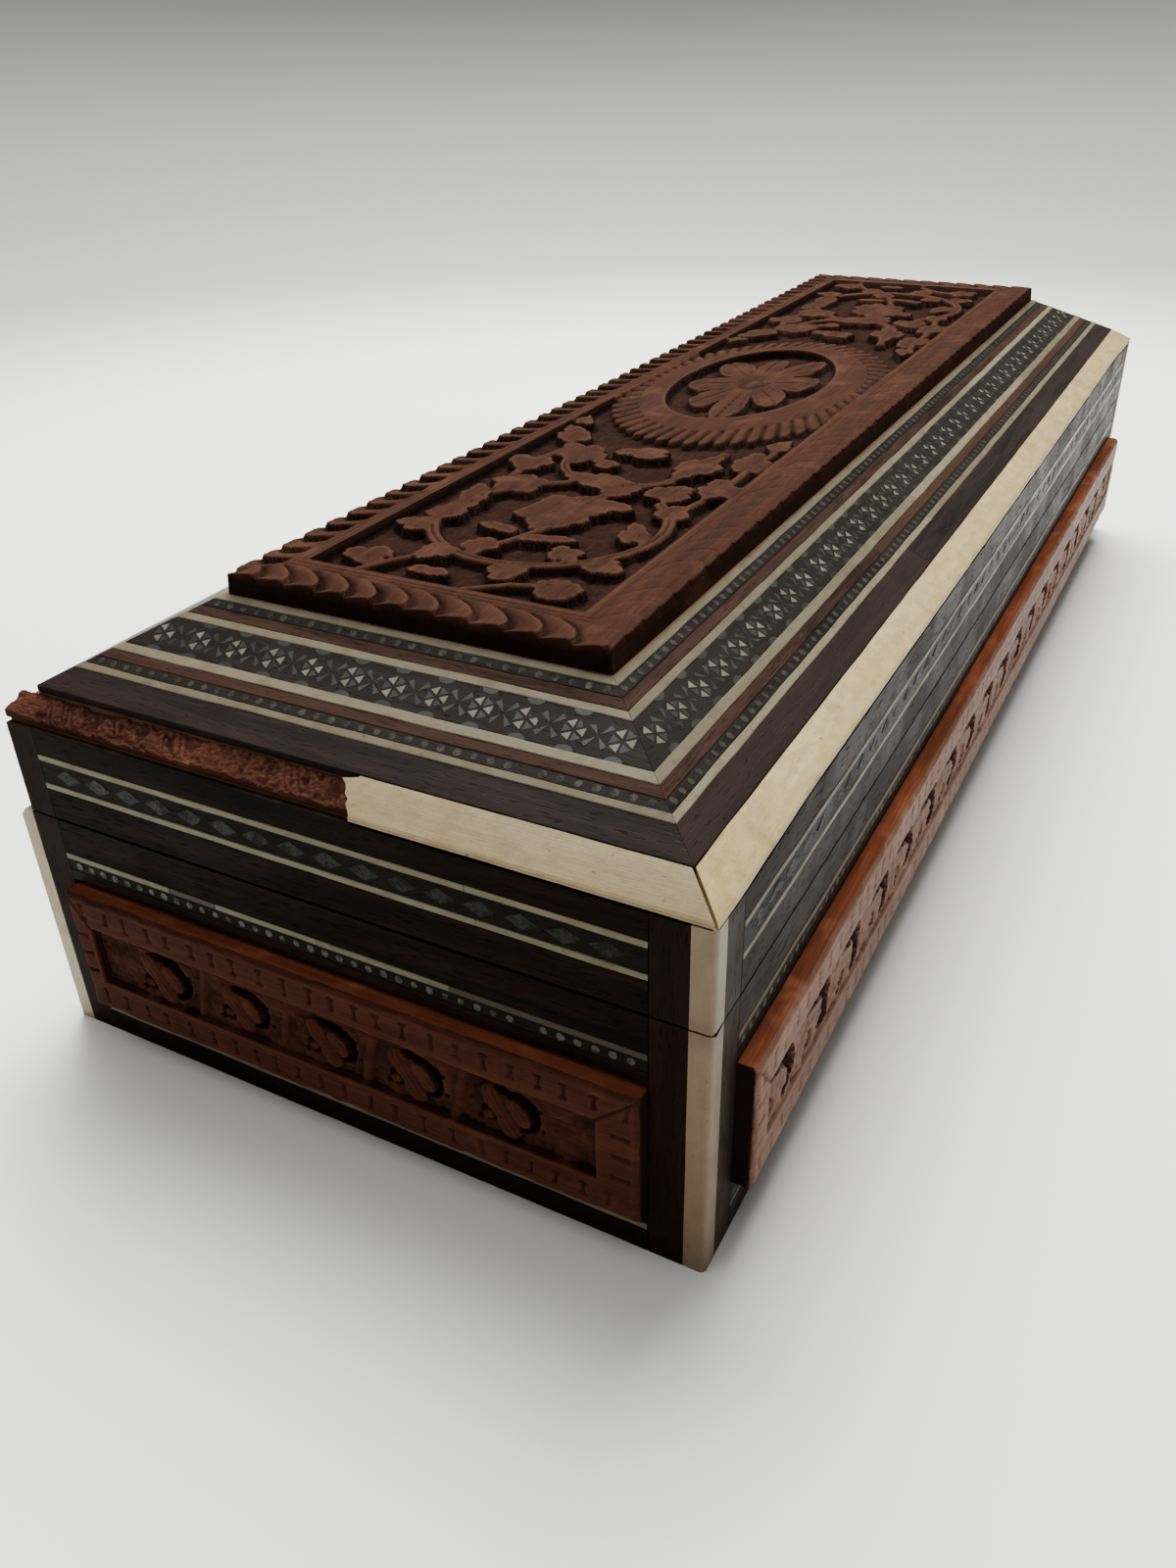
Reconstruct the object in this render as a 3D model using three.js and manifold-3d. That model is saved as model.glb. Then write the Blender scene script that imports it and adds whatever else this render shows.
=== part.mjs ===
// Inlaid sandalwood box with a hinged, sloping lid. Millimetres, +Z up, front wall towards -Y, hinges
// at the back. The origin is the middle of the underside.
import * as THREE from "three";
import { mergeVertices } from "three/addons/utils/BufferGeometryUtils.js";
import Module from "manifold-3d";

const wasm = await Module();
wasm.setup();

// Box body
const boxLength = 300;
const boxWidth = 110;
const boxHeight = 40;
const boardThickness = 6;
const bottomThickness = 5;
const veneerThickness = 1;
const glueLine = 0.05;
const stripSide = 3;
const stripRound = 0.7;
const endStripWidth = 5;

// Inlay bands of the walls
const boneLine = 1.1;
const dotStrip = 1.8;
const footMargin = 4;
const panelMargin = 1.9;
const topMargin = 5.7;
const lozengeStrip = 3.5;
const lidFootMargin = 4.9;

// Carved wall panels
const longPanel = { thickness: 4, motifPitch: 13.6 };
const shortPanel = { thickness: 3.4, motifPitch: 15.2 };
const panelBorder = 5.7;
const fieldDepth = 2.2;
const leafSize = [4.8, 4.3];
const leafDrop = 0.4;
const leafTurn = 10;
const leafLobes = 3;
const leafNotch = 0.3;
const stemWidth = 2.4;
const stemLean = 2;
const stemDrop = 0.9;
const stemSteps = 6;

// Lid
const seamGap = 0.3;
const lidWallHeight = 15.2;
const lidBoardHeight = 11.7;
const edgingWidth = 4.95;
const edgingRise = 3.1;
const edgingLip = 0.5;
const edgingHeel = 1.6;
const slopeRatio = 0.506;
const ringThickness = 1.1;
const slopeBoardThickness = 4.5;
const topBoardThickness = 4;
const rosewoodBorder = 3.9;
const outerStringing = 5.15;
const mosaicBand = 5.3;
const innerStringing = 4.9;
const brokenEdge = { outer: -6.8, inner: -3.4, shoulder: -5.1, shoulderInset: 3.8 };
const backEdgingLoss = 11;

// Carved lid panel
const reliefHeight = 3.65;
const reliefTaper = 0.4;
const reliefReveal = 0.3;
const reliefBorder = 5.5;
const reliefMoulding = 2.7;
const groundHeight = 0.95;
const lobePitch = 5.1;
const lobeSweep = 5.2;
const lobeRise = 1.1;
const lobeLap = 0.5;
const lobeRows = 3;
const foliageDrop = 0.15;
const foliageNotch = 0.3;
const medallion = {
  outer: [44, 26],
  ring: [36, 20.5],
  recess: [29, 14.6],
  steps: 40,
  ribs: 40,
  ribDrop: 0.45,
  ribOutline: [[-0.1, 0.02], [0.8, 0.1], [1, 0.45], [0.8, 0.8], [-0.1, 0.95]],
  petals: 6,
  petalNotch: 0.34,
  petalDrop: 0.4,
  flower: [25, 12.4],
};

// Hinges
const hingeSpacing = 170;
const hingeLength = 20;
const hingeInset = 1.6;
const barrelRadius = 1.5;
const barrelRoom = 0.3;
const pinRadius = 0.7;
const pinRoom = 0.1;
const leafThickness = 0.9;
const leafDepth = 4.2;
const knuckleGap = 0.2;
const grooveAngle = 51;

// Worked out from the sizes above
const lidBottom = boxHeight + seamGap;
const edgingFoot = lidBottom + lidWallHeight;
const boardFace = veneerThickness + glueLine;
const boardBack = veneerThickness + boardThickness;
const bandStart = stripSide + endStripWidth;
const bandWidth = boneLine + dotStrip;
const ringsEnd = edgingWidth + rosewoodBorder + outerStringing + mosaicBand + innerStringing;
const slopeTop = (inset) => edgingFoot + edgingRise + (inset - edgingWidth) * slopeRatio;
const seatTop = (inset) => {
  const outer = edgingFoot - edgingLip;
  return outer + ((edgingFoot + edgingRise - edgingHeel - outer) * inset) / edgingWidth;
};
const topBoardTop = slopeTop(ringsEnd);
const panelFoot = ringsEnd + reliefReveal;
const hingeAxisHeight = boxHeight + seamGap / 2;

// The four walls, anticlockwise from above. Along a wall, u runs anticlockwise and inset runs inwards.
const walls = {
  front: { length: boxLength, depth: boxWidth, turn: 0, panel: longPanel },
  right: { length: boxWidth, depth: boxLength, turn: Math.PI / 2, panel: shortPanel },
  back: { length: boxLength, depth: boxWidth, turn: Math.PI, panel: longPanel },
  left: { length: boxWidth, depth: boxLength, turn: -Math.PI / 2, panel: shortPanel },
};

const finish = (color, roughness, metalness = 0) =>
  new THREE.MeshStandardMaterial({ color, roughness, metalness });
const finishes = {
  sandalwood: finish(0x7a4a36, 0.75),
  carved: finish(0x6e4635, 0.6),
  rosewood: finish(0x2c201f, 0.4),
  border: finish(0x3a2a29, 0.45),
  bone: finish(0xe0d0a8, 0.45),
  band: finish(0x55524a, 0.4),
  mosaic: finish(0x3e3f38, 0.4),
  brass: finish(0xb08d4a, 0.35, 1),
};

// Solids and geometries

function solidOf(geometry) {
  const loose = geometry.index ? geometry.toNonIndexed() : geometry;
  const bare = new THREE.BufferGeometry();
  bare.setAttribute("position", loose.getAttribute("position"));
  const merged = mergeVertices(bare, 1e-4);
  return new wasm.Manifold(
    new wasm.Mesh({
      numProp: 3,
      vertProperties: merged.getAttribute("position").array,
      triVerts: new Uint32Array(merged.index.array),
    }),
  );
}

function geometryOf(solid) {
  const { numProp, vertProperties, triVerts } = solid.getMesh();
  const positions = new Float32Array((vertProperties.length / numProp) * 3);
  for (let i = 0; i < positions.length / 3; i++) {
    positions.set(vertProperties.subarray(i * numProp, i * numProp + 3), i * 3);
  }
  const shared = new THREE.BufferGeometry();
  shared.setAttribute("position", new THREE.BufferAttribute(positions, 3));
  shared.setIndex(new THREE.BufferAttribute(new Uint32Array(triVerts), 1));
  const flat = shared.toNonIndexed();
  flat.computeVertexNormals();
  return flat;
}

const box = (x, y, z) =>
  solidOf(
    new THREE.BoxGeometry(x[1] - x[0], y[1] - y[0], z[1] - z[0]).translate(
      (x[0] + x[1]) / 2,
      (y[0] + y[1]) / 2,
      (z[0] + z[1]) / 2,
    ),
  );

const turned = (solid, angle) => solidOf(geometryOf(solid).rotateZ(angle));
const joined = (solids) => solids.reduce((whole, piece) => whole.add(piece));
const cut = (solid, cutters) => cutters.reduce((rest, cutter) => rest.subtract(cutter), solid);

function anticlockwise(outline) {
  const points = outline.map(([x, y]) => new THREE.Vector2(x, y));
  return THREE.ShapeUtils.isClockWise(points) ? points.reverse() : points;
}

// A flat-topped piece of an outline in plan, from one height to another.
function plan(outline, low, high) {
  const shape = new THREE.Shape(anticlockwise(outline));
  const geometry = new THREE.ExtrudeGeometry(shape, { depth: high - low, bevelEnabled: false });
  return geometry.translate(0, 0, low);
}

// A piece of an outline in [u, height], standing on a wall between two insets, as the front wall has it.
function upright(outline, wall, outer, inner, windows = []) {
  const shape = new THREE.Shape(anticlockwise(outline));
  shape.holes = windows.map((hole) => new THREE.Path(anticlockwise(hole).reverse()));
  const geometry = new THREE.ExtrudeGeometry(shape, { depth: inner - outer, bevelEnabled: false });
  return geometry.rotateX(Math.PI / 2).translate(0, inner - wall.depth / 2, 0);
}

const rectangle = (u, z) => [
  [u[0], z[0]],
  [u[1], z[0]],
  [u[1], z[1]],
  [u[0], z[1]],
];

// Sides between the two copies of a section, where corner(k, end) gives a point of the copy.
function loftSides(count, corner, positions) {
  for (let k = 0; k < count; k++) {
    const next = (k + 1) % count;
    const [a0, b0, b1, a1] = [corner(k, 0), corner(next, 0), corner(next, 1), corner(k, 1)];
    positions.push(...a0, ...b0, ...b1, ...a0, ...b1, ...a1);
  }
}

function geometryFrom(positions) {
  const geometry = new THREE.BufferGeometry();
  return geometry.setAttribute("position", new THREE.Float32BufferAttribute(positions, 3));
}

// A bar of a section in [inset, height] along a wall, its ends mitred at 45 degrees in plan.
function mitredBar(section, wall) {
  const points = anticlockwise(section);
  const corner = (k, end) => {
    const reach = wall.length / 2 - points[k].x - glueLine;
    return [end ? reach : -reach, points[k].x - wall.depth / 2, points[k].y];
  };
  const positions = [];
  loftSides(points.length, corner, positions);
  for (const [a, b, c] of THREE.ShapeUtils.triangulateShape(points, [])) {
    positions.push(...corner(a, 1), ...corner(b, 1), ...corner(c, 1));
    positions.push(...corner(a, 0), ...corner(c, 0), ...corner(b, 0));
  }
  return geometryFrom(positions);
}

// The same section carried round all four walls.
function mitredRing(section, length = boxLength, width = boxWidth) {
  const points = anticlockwise(section);
  const positions = [];
  const signs = [[-1, -1], [1, -1], [1, 1], [-1, 1]];
  signs.forEach((from, c) => {
    const to = signs[(c + 1) % signs.length];
    const corner = (k, end) => {
      const [sx, sy] = end ? to : from;
      return [sx * (length / 2 - points[k].x), sy * (width / 2 - points[k].x), points[k].y];
    };
    loftSides(points.length, corner, positions);
  });
  return geometryFrom(positions);
}

// A slab on a rectangle, drawn in towards its top.
function taperedSlab(halfLength, halfWidth, taper, low, high) {
  const slab = new THREE.BoxGeometry(2 * halfLength, 2 * halfWidth, high - low);
  slab.translate(0, 0, (low + high) / 2);
  const position = slab.getAttribute("position");
  for (let i = 0; i < position.count; i++) {
    if (position.getZ(i) > (low + high) / 2) {
      position.setX(i, position.getX(i) - Math.sign(position.getX(i)) * taper);
      position.setY(i, position.getY(i) - Math.sign(position.getY(i)) * taper);
    }
  }
  return slab;
}

// Outlines of the carving

function lobedOutline([x, y], [along, across], lobes, depth, turn) {
  const steps = Math.max(10, lobes * 4);
  return Array.from({ length: steps }, (_, i) => {
    const angle = (i / steps) * 2 * Math.PI;
    const reach = (1 + depth * Math.cos(lobes * angle)) / (1 + depth);
    const [px, py] = [along * reach * Math.cos(angle), across * reach * Math.sin(angle)];
    return [x + px * Math.cos(turn) - py * Math.sin(turn), y + px * Math.sin(turn) + py * Math.cos(turn)];
  });
}

function ellipseOutline([a, b], steps) {
  return Array.from({ length: steps }, (_, i) => {
    const angle = (i / steps) * 2 * Math.PI;
    return [a * Math.cos(angle), b * Math.sin(angle)];
  });
}

// A stem of constant width through points.
function stemOutline(points, width, steps) {
  const curve = new THREE.SplineCurve(points.map(([x, y]) => new THREE.Vector2(x, y)));
  const sides = [[], []];
  for (let i = 0; i <= steps; i++) {
    const at = curve.getPoint(i / steps);
    const along = curve.getTangent(i / steps);
    sides[0].push([at.x + (along.y * width) / 2, at.y - (along.x * width) / 2]);
    sides[1].unshift([at.x - (along.y * width) / 2, at.y + (along.x * width) / 2]);
  }
  return [...sides[0], ...sides[1]];
}

function arcPoints([x, y], radius, fromDegrees, toDegrees, count) {
  return Array.from({ length: count + 1 }, (_, i) => {
    const angle = THREE.MathUtils.degToRad(fromDegrees + ((toDegrees - fromDegrees) * i) / count);
    return [x + radius * Math.cos(angle), y + radius * Math.sin(angle)];
  });
}

// Cutters

const over = 1;
const cornerNotches = (wall, high) =>
  [-1, 1].map((side) => {
    const reach = [wall.length / 2 - stripSide - glueLine, wall.length / 2 + over];
    const u = side > 0 ? reach : [-reach[1], -reach[0]];
    const y = [-wall.depth / 2 - over, -wall.depth / 2 + stripSide + glueLine];
    return box(u, y, [-over, high]);
  });

// The groove along the back of the seam, which lets the lid swing back, as the back wall has it.
function hingeGroove(length) {
  const rise = (hingeInset + over) * Math.tan(THREE.MathUtils.degToRad(grooveAngle));
  const section = [
    [-over, hingeAxisHeight - rise],
    [hingeInset, hingeAxisHeight],
    [-over, hingeAxisHeight + rise],
  ];
  const shape = new THREE.Shape(anticlockwise(section));
  const geometry = new THREE.ExtrudeGeometry(shape, { depth: length, bevelEnabled: false });
  const inPlace = new THREE.Matrix4().makeBasis(
    new THREE.Vector3(0, 1, 0),
    new THREE.Vector3(0, 0, 1),
    new THREE.Vector3(1, 0, 0),
  );
  return solidOf(geometry.applyMatrix4(inPlace).translate(-length / 2, -boxWidth / 2, 0));
}

// A round bar along the hinge axis.
function hingeBar(radius, from, to) {
  const bar = new THREE.CylinderGeometry(radius, radius, to - from, 12);
  bar.rotateZ(Math.PI / 2).translate((from + to) / 2, hingeInset - boxWidth / 2, hingeAxisHeight);
  return solidOf(bar);
}

const hingeCentres = [-hingeSpacing / 2, hingeSpacing / 2];
const leafBack = hingeInset + leafDepth;

// What both leaves and their knuckles need taken out of the back wall, at one hinge.
function hingeRoom(centre) {
  const half = hingeLength / 2 + barrelRoom;
  const y = [hingeInset - boxWidth / 2, leafBack + glueLine - boxWidth / 2];
  const z = [
    boxHeight - leafThickness - glueLine,
    lidBottom + leafThickness + glueLine,
  ];
  const leaves = box([centre - half, centre + half], y, z);
  return leaves.add(hingeBar(barrelRadius + barrelRoom, centre - half, centre + half));
}

const backCutters = [hingeGroove(boxLength + 2 * over), ...hingeCentres.map(hingeRoom)];

// Scene graph

const part = new THREE.Group();
const boxBody = new THREE.Group();
const lid = new THREE.Group();
part.add(boxBody, lid);

function add(group, name, solid, material) {
  const mesh = new THREE.Mesh(geometryOf(solid), material);
  mesh.name = name;
  group.add(mesh);
}

function wallGroup(parent, wall) {
  const group = new THREE.Group();
  group.rotation.z = wall.turn;
  parent.add(group);
  return group;
}

// Veneer plate of a wall, with a window for each inlay and for the carved panel.
function veneer(wall, low, high, windows) {
  const reach = wall.length / 2 - stripSide - glueLine;
  const half = wall.length / 2 - bandStart;
  const holes = windows.map(([from, to]) => rectangle([-half, half], [from, to]));
  return solidOf(upright(rectangle([-reach, reach], [low, high]), wall, 0, veneerThickness, holes));
}

// An inlay band, let into its window up to the face.
function band(wall, [low, high]) {
  const half = wall.length / 2 - bandStart - glueLine;
  const outline = rectangle([-half, half], [low + glueLine, high - glueLine]);
  return solidOf(upright(outline, wall, 0, veneerThickness));
}

// A carved panel: a flat border round a sunk field of three-lobed leaves, with a leaning stem between them.
function carvedPanel(wall, [low, high]) {
  const half = wall.length / 2 - bandStart - glueLine;
  const inner = veneerThickness;
  const face = inner - wall.panel.thickness;
  const pitch = wall.panel.motifPitch;
  const z = [low + glueLine, high - glueLine];
  const fieldHalf = half - panelBorder;
  const fieldZ = [z[0] + panelBorder, z[1] - panelBorder];
  const middle = (fieldZ[0] + fieldZ[1]) / 2;
  const plate = solidOf(upright(rectangle([-half, half], z), wall, face, inner));
  const sinking = rectangle([-fieldHalf, fieldHalf], fieldZ);
  const field = solidOf(upright(sinking, wall, face - over, face + fieldDepth));
  const count = Math.max(1, Math.floor((2 * fieldHalf) / pitch));
  const ground = face + fieldDepth + over / 2;
  const carving = [];
  for (let i = 0; i <= count; i++) {
    const u = (i - count / 2) * pitch;
    const stem = [
      [u - stemLean, fieldZ[0] - stemWidth],
      [u - stemLean / 2, fieldZ[0]],
      [u + stemLean / 2, fieldZ[1]],
      [u + stemLean, fieldZ[1] + stemWidth],
    ];
    carving.push(upright(stemOutline(stem, stemWidth, stemSteps), wall, face + stemDrop, ground));
    if (i < count) {
      const turn = THREE.MathUtils.degToRad(leafTurn);
      const leaf = lobedOutline([u + pitch / 2, middle], leafSize, leafLobes, leafNotch, turn);
      carving.push(upright(leaf, wall, face + leafDrop, ground));
    }
  }
  const bounds = solidOf(upright(sinking, wall, face, ground));
  const raised = joined(carving.map(solidOf)).intersect(bounds);
  return plate.subtract(field).add(raised);
}

const lowerBand = [footMargin, footMargin + bandWidth];
const upperBand = [boxHeight - topMargin - bandWidth, boxHeight - topMargin];
const panelWindow = [lowerBand[1] + panelMargin, upperBand[0] - panelMargin];
const lozengeBand = [lidBottom + lidFootMargin, lidBottom + lidFootMargin + 2 * boneLine + lozengeStrip];

// Walls of the box and of the lid

for (const [side, wall] of Object.entries(walls)) {
  const cutters = side === "back" ? backCutters : [];
  const boxWall = wallGroup(boxBody, wall);
  const lidWall = wallGroup(lid, wall);
  const boardInsets = [boardFace, boardBack];

  const boxBoard = mitredBar(rectangle(boardInsets, [0, boxHeight]), wall);
  const boxNotches = cornerNotches(wall, boxHeight + over);
  add(boxWall, `box_board_${side}`, cut(solidOf(boxBoard), [...boxNotches, ...cutters]), finishes.sandalwood);
  const plate = veneer(wall, 0, boxHeight, [lowerBand, panelWindow, upperBand]);
  add(boxWall, `box_veneer_${side}`, cut(plate, cutters), finishes.rosewood);
  add(boxWall, `box_band_lower_${side}`, band(wall, lowerBand), finishes.band);
  add(boxWall, `box_band_upper_${side}`, band(wall, upperBand), finishes.band);
  add(boxWall, `carved_panel_${side}`, carvedPanel(wall, panelWindow), finishes.carved);

  const lidBoard = mitredBar(rectangle(boardInsets, [lidBottom, lidBottom + lidBoardHeight]), wall);
  const lidNotches = cornerNotches(wall, edgingFoot + edgingRise);
  add(lidWall, `lid_board_${side}`, cut(solidOf(lidBoard), [...lidNotches, ...cutters]), finishes.sandalwood);
  const lidPlate = veneer(wall, lidBottom, edgingFoot - edgingLip - glueLine, [lozengeBand]);
  add(lidWall, `lid_veneer_${side}`, cut(lidPlate, cutters), finishes.rosewood);
  add(lidWall, `lid_band_${side}`, band(wall, lozengeBand), finishes.band);

  const boardUnder = lidBottom + lidBoardHeight + glueLine;
  const slopeEnd = ringsEnd - glueLine;
  const ringUnder = (inset) => slopeTop(inset) - ringThickness - glueLine;
  const slopeSection = [
    [boardFace, boardUnder],
    [boardBack, boardUnder],
    [boardBack, Math.max(ringUnder(boardBack) - slopeBoardThickness, boardUnder + glueLine)],
    [slopeEnd, ringUnder(slopeEnd) - slopeBoardThickness],
    [slopeEnd, ringUnder(slopeEnd)],
    [edgingWidth, ringUnder(edgingWidth)],
    [edgingWidth, seatTop(edgingWidth) - glueLine],
    [boardFace, seatTop(boardFace) - glueLine],
  ];
  const slopeBoard = cut(solidOf(mitredBar(slopeSection, wall)), lidNotches);
  add(lidWall, `slope_board_${side}`, slopeBoard, finishes.sandalwood);
}

// Bottom board

const insideLength = boxLength - 2 * (boardBack + glueLine);
const insideWidth = boxWidth - 2 * (boardBack + glueLine);
const across = (size) => [-size / 2, size / 2];
const bottomBoard = box(across(insideLength), across(insideWidth), [0, bottomThickness]);
add(boxBody, "bottom_board", bottomBoard, finishes.sandalwood);

// Bone corner strips, in the notches of the boards

function cornerStrip(index, low, high) {
  const shape = new THREE.Shape();
  shape.moveTo(stripRound, 0);
  shape.lineTo(stripSide, 0);
  shape.lineTo(stripSide, stripSide);
  shape.lineTo(0, stripSide);
  shape.lineTo(0, stripRound);
  shape.absarc(stripRound, stripRound, stripRound, Math.PI, 1.5 * Math.PI, false);
  const settings = { depth: high - low, bevelEnabled: false, curveSegments: 4 };
  const geometry = new THREE.ExtrudeGeometry(shape, settings).translate(0, 0, low);
  const sx = index === 0 || index === 3 ? -1 : 1;
  const sy = index < 2 ? -1 : 1;
  return geometry.rotateZ((index * Math.PI) / 2).translate((sx * boxLength) / 2, (sy * boxWidth) / 2, 0);
}

const overSeat = solidOf(
  mitredRing([
    [-over, seatTop(-over) - glueLine],
    [edgingWidth, seatTop(edgingWidth) - glueLine],
    [edgingWidth, edgingFoot + edgingRise + over],
    [-over, edgingFoot + edgingRise + over],
  ]),
);
const groove = turned(hingeGroove(boxLength + 2 * over), Math.PI);
const missingLidStrip = 3;
["front_left", "front_right", "back_right", "back_left"].forEach((corner, index) => {
  const boxStrip = cut(solidOf(cornerStrip(index, 0, boxHeight)), [groove]);
  add(boxBody, `corner_strip_box_${corner}`, boxStrip, finishes.bone);
  if (index !== missingLidStrip) {
    const lidStrip = solidOf(cornerStrip(index, lidBottom, edgingFoot + edgingRise));
    add(lid, `corner_strip_lid_${corner}`, cut(lidStrip, [groove, overSeat]), finishes.bone);
  }
});

// Bone edging on the chamfer over the walls

const edgingSection = [
  [0, seatTop(0)],
  [edgingWidth - glueLine, seatTop(edgingWidth - glueLine)],
  [edgingWidth - glueLine, edgingFoot + edgingRise - (glueLine * edgingRise) / edgingWidth],
  [0, edgingFoot],
];
for (const [side, wall] of Object.entries(walls)) {
  let strip = solidOf(mitredBar(edgingSection, wall));
  const top = edgingFoot + edgingRise + over;
  if (side === "left") {
    const reach = wall.length / 2 + over;
    const face = -wall.depth / 2;
    const lost = [
      [-reach, face - over],
      [-brokenEdge.outer, face - over],
      [-brokenEdge.outer, face],
      [-brokenEdge.inner, face + brokenEdge.shoulderInset],
      [-brokenEdge.shoulder, face + edgingWidth],
      [-brokenEdge.shoulder, face + edgingWidth + over],
      [-reach, face + edgingWidth + over],
    ];
    strip = strip.subtract(solidOf(plan(lost, lidBottom, top)));
  }
  if (side === "back") {
    const from = wall.length / 2 - backEdgingLoss;
    const y = [-wall.depth / 2 - over, -wall.depth / 2 + edgingWidth + over];
    strip = strip.subtract(box([from, wall.length / 2 + over], y, [lidBottom, top]));
  }
  add(wallGroup(lid, wall), `edging_strip_${side}`, strip, finishes.bone);
}

// Bands round the slope, from the edging inwards

let inset = edgingWidth;
for (const [name, width, material] of [
  ["border_band", rosewoodBorder, finishes.border],
  ["outer_stringing_band", outerStringing, finishes.band],
  ["mosaic_band", mosaicBand, finishes.mosaic],
  ["inner_stringing_band", innerStringing, finishes.band],
]) {
  const from = inset + glueLine / 2;
  const to = inset + width - glueLine / 2;
  const section = [
    [from, slopeTop(from) - ringThickness],
    [to, slopeTop(to) - ringThickness],
    [to, slopeTop(to)],
    [from, slopeTop(from)],
  ];
  add(lid, name, solidOf(mitredRing(section)), material);
  inset += width;
}

const topBoardZ = [topBoardTop - topBoardThickness, topBoardTop];
const topBoard = box(across(boxLength - 2 * ringsEnd), across(boxWidth - 2 * ringsEnd), topBoardZ);
add(lid, "top_board", topBoard, finishes.sandalwood);

// Carved lid panel: a gadrooned border and a moulding round a sunk field, with an oval medallion
// between two compartments of vine scrolls

const reliefFoot = topBoardTop + glueLine;
const reliefTop = reliefFoot + reliefHeight;
const ground = reliefFoot + groundHeight;
const sunk = ground - groundHeight / 2;
const panelHalf = [boxLength / 2 - panelFoot, boxWidth / 2 - panelFoot];
const topHalf = panelHalf.map((half) => half - reliefTaper);
const mouldingHalf = topHalf.map((half) => half - reliefBorder);
const fieldHalf = mouldingHalf.map((half) => half - reliefMoulding);

// One lobe of the border: a scale whose rounded end stands over the tail of the next.
function borderLobe(start, pitch, acrossHalf) {
  const sweep = (t) => -lobeSweep * t * t;
  const low = reliefTop - 2 * lobeRise;
  const corner = (row, end, high) => {
    const t = row / lobeRows;
    const u = start + sweep(t) + (end ? pitch : -lobeLap);
    const z = high ? reliefTop - (end ? 0 : lobeRise) : low;
    return [u, -acrossHalf + t * reliefBorder, z];
  };
  const positions = [];
  const quad = (a, b, c, d) => positions.push(...a, ...b, ...c, ...a, ...c, ...d);
  for (let row = 0; row < lobeRows; row++) {
    const next = row + 1;
    quad(corner(row, 0, 1), corner(row, 1, 1), corner(next, 1, 1), corner(next, 0, 1));
    quad(corner(row, 0, 0), corner(next, 0, 0), corner(next, 1, 0), corner(row, 1, 0));
    quad(corner(row, 1, 0), corner(next, 1, 0), corner(next, 1, 1), corner(row, 1, 1));
    quad(corner(row, 0, 0), corner(row, 0, 1), corner(next, 0, 1), corner(next, 0, 0));
  }
  quad(corner(0, 0, 0), corner(0, 1, 0), corner(0, 1, 1), corner(0, 0, 1));
  quad(corner(lobeRows, 0, 0), corner(lobeRows, 0, 1), corner(lobeRows, 1, 1), corner(lobeRows, 1, 0));
  return solidOf(geometryFrom(positions));
}

// The lobes along one side of the panel, cut at the mitres.
function borderSide(turned) {
  const [alongHalf, acrossHalf] = turned ? [topHalf[1], topHalf[0]] : topHalf;
  const count = Math.round((2 * alongHalf) / lobePitch);
  const pitch = (2 * alongHalf) / count;
  const lobes = [];
  for (let i = -1; i <= count; i++) {
    lobes.push(borderLobe(-alongHalf + i * pitch, pitch, acrossHalf));
  }
  const mitres = [
    [-alongHalf, -acrossHalf],
    [alongHalf, -acrossHalf],
    [alongHalf - reliefBorder + glueLine, -acrossHalf + reliefBorder],
    [reliefBorder - alongHalf - glueLine, -acrossHalf + reliefBorder],
  ];
  const bounds = solidOf(plan(mitres, reliefTop - 3 * lobeRise, reliefTop + over));
  return joined(lobes).intersect(bounds);
}

// Leaves of the left compartment: centre, half sizes, lobes and direction in degrees.
const leaves = [
  [[-110.9, 16.4], [3.9, 3.3], 3, 90],
  [[-97.2, 17.6], [2.9, 2.6], 3, 80],
  [[-112.6, 4.8], [3.2, 1.9], 2, 90],
  [[-106.6, 8.2], [3.1, 2.8], 3, 160],
  [[-108.3, -5.6], [3.1, 2.8], 3, 200],
  [[-111.1, -14.6], [3.9, 3.5], 5, 230],
  [[-101.2, -17.2], [2.9, 2.6], 3, 250],
  [[-101, 3.4], [3, 2.8], 3, 10],
  [[-93.8, 5.4], [3, 2.4], 3, 60],
  [[-94.9, -4.8], [3.6, 2], 2, -65],
  [[-99.4, -9.8], [3, 2.6], 3, 45],
  [[-82.6, 0.2], [8.8, 6.2], 5, 165],
  [[-80.2, -6.4], [3.6, 3], 3, 280],
  [[-86.4, 15.8], [8.2, 3.2], 3, -8],
  [[-74.8, 12.6], [5, 3.8], 4, 80],
  [[-63.4, 15.8], [4.2, 3.8], 3, 70],
  [[-66.8, 1.8], [6, 3.6], 3, 110],
  [[-56.4, 9.2], [4.8, 4.4], 4, 45],
  [[-69.4, -12.4], [4.1, 3.7], 3, -20],
  [[-64.6, -18.6], [4.2, 3.4], 3, 20],
  [[-76.6, -17.6], [3.2, 2.8], 3, 0],
  [[-56.2, -11.4], [6.2, 3.4], 3, -10],
  [[-51.6, -18], [4.6, 3.2], 3, 10],
  [[-88.4, -14], [4.4, 2.6], 3, 20],
  [[-50.4, 0.8], [4.8, 2.8], 3, 100],
  [[-45, 17.2], [4.8, 3], 3, 30],
];
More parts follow.
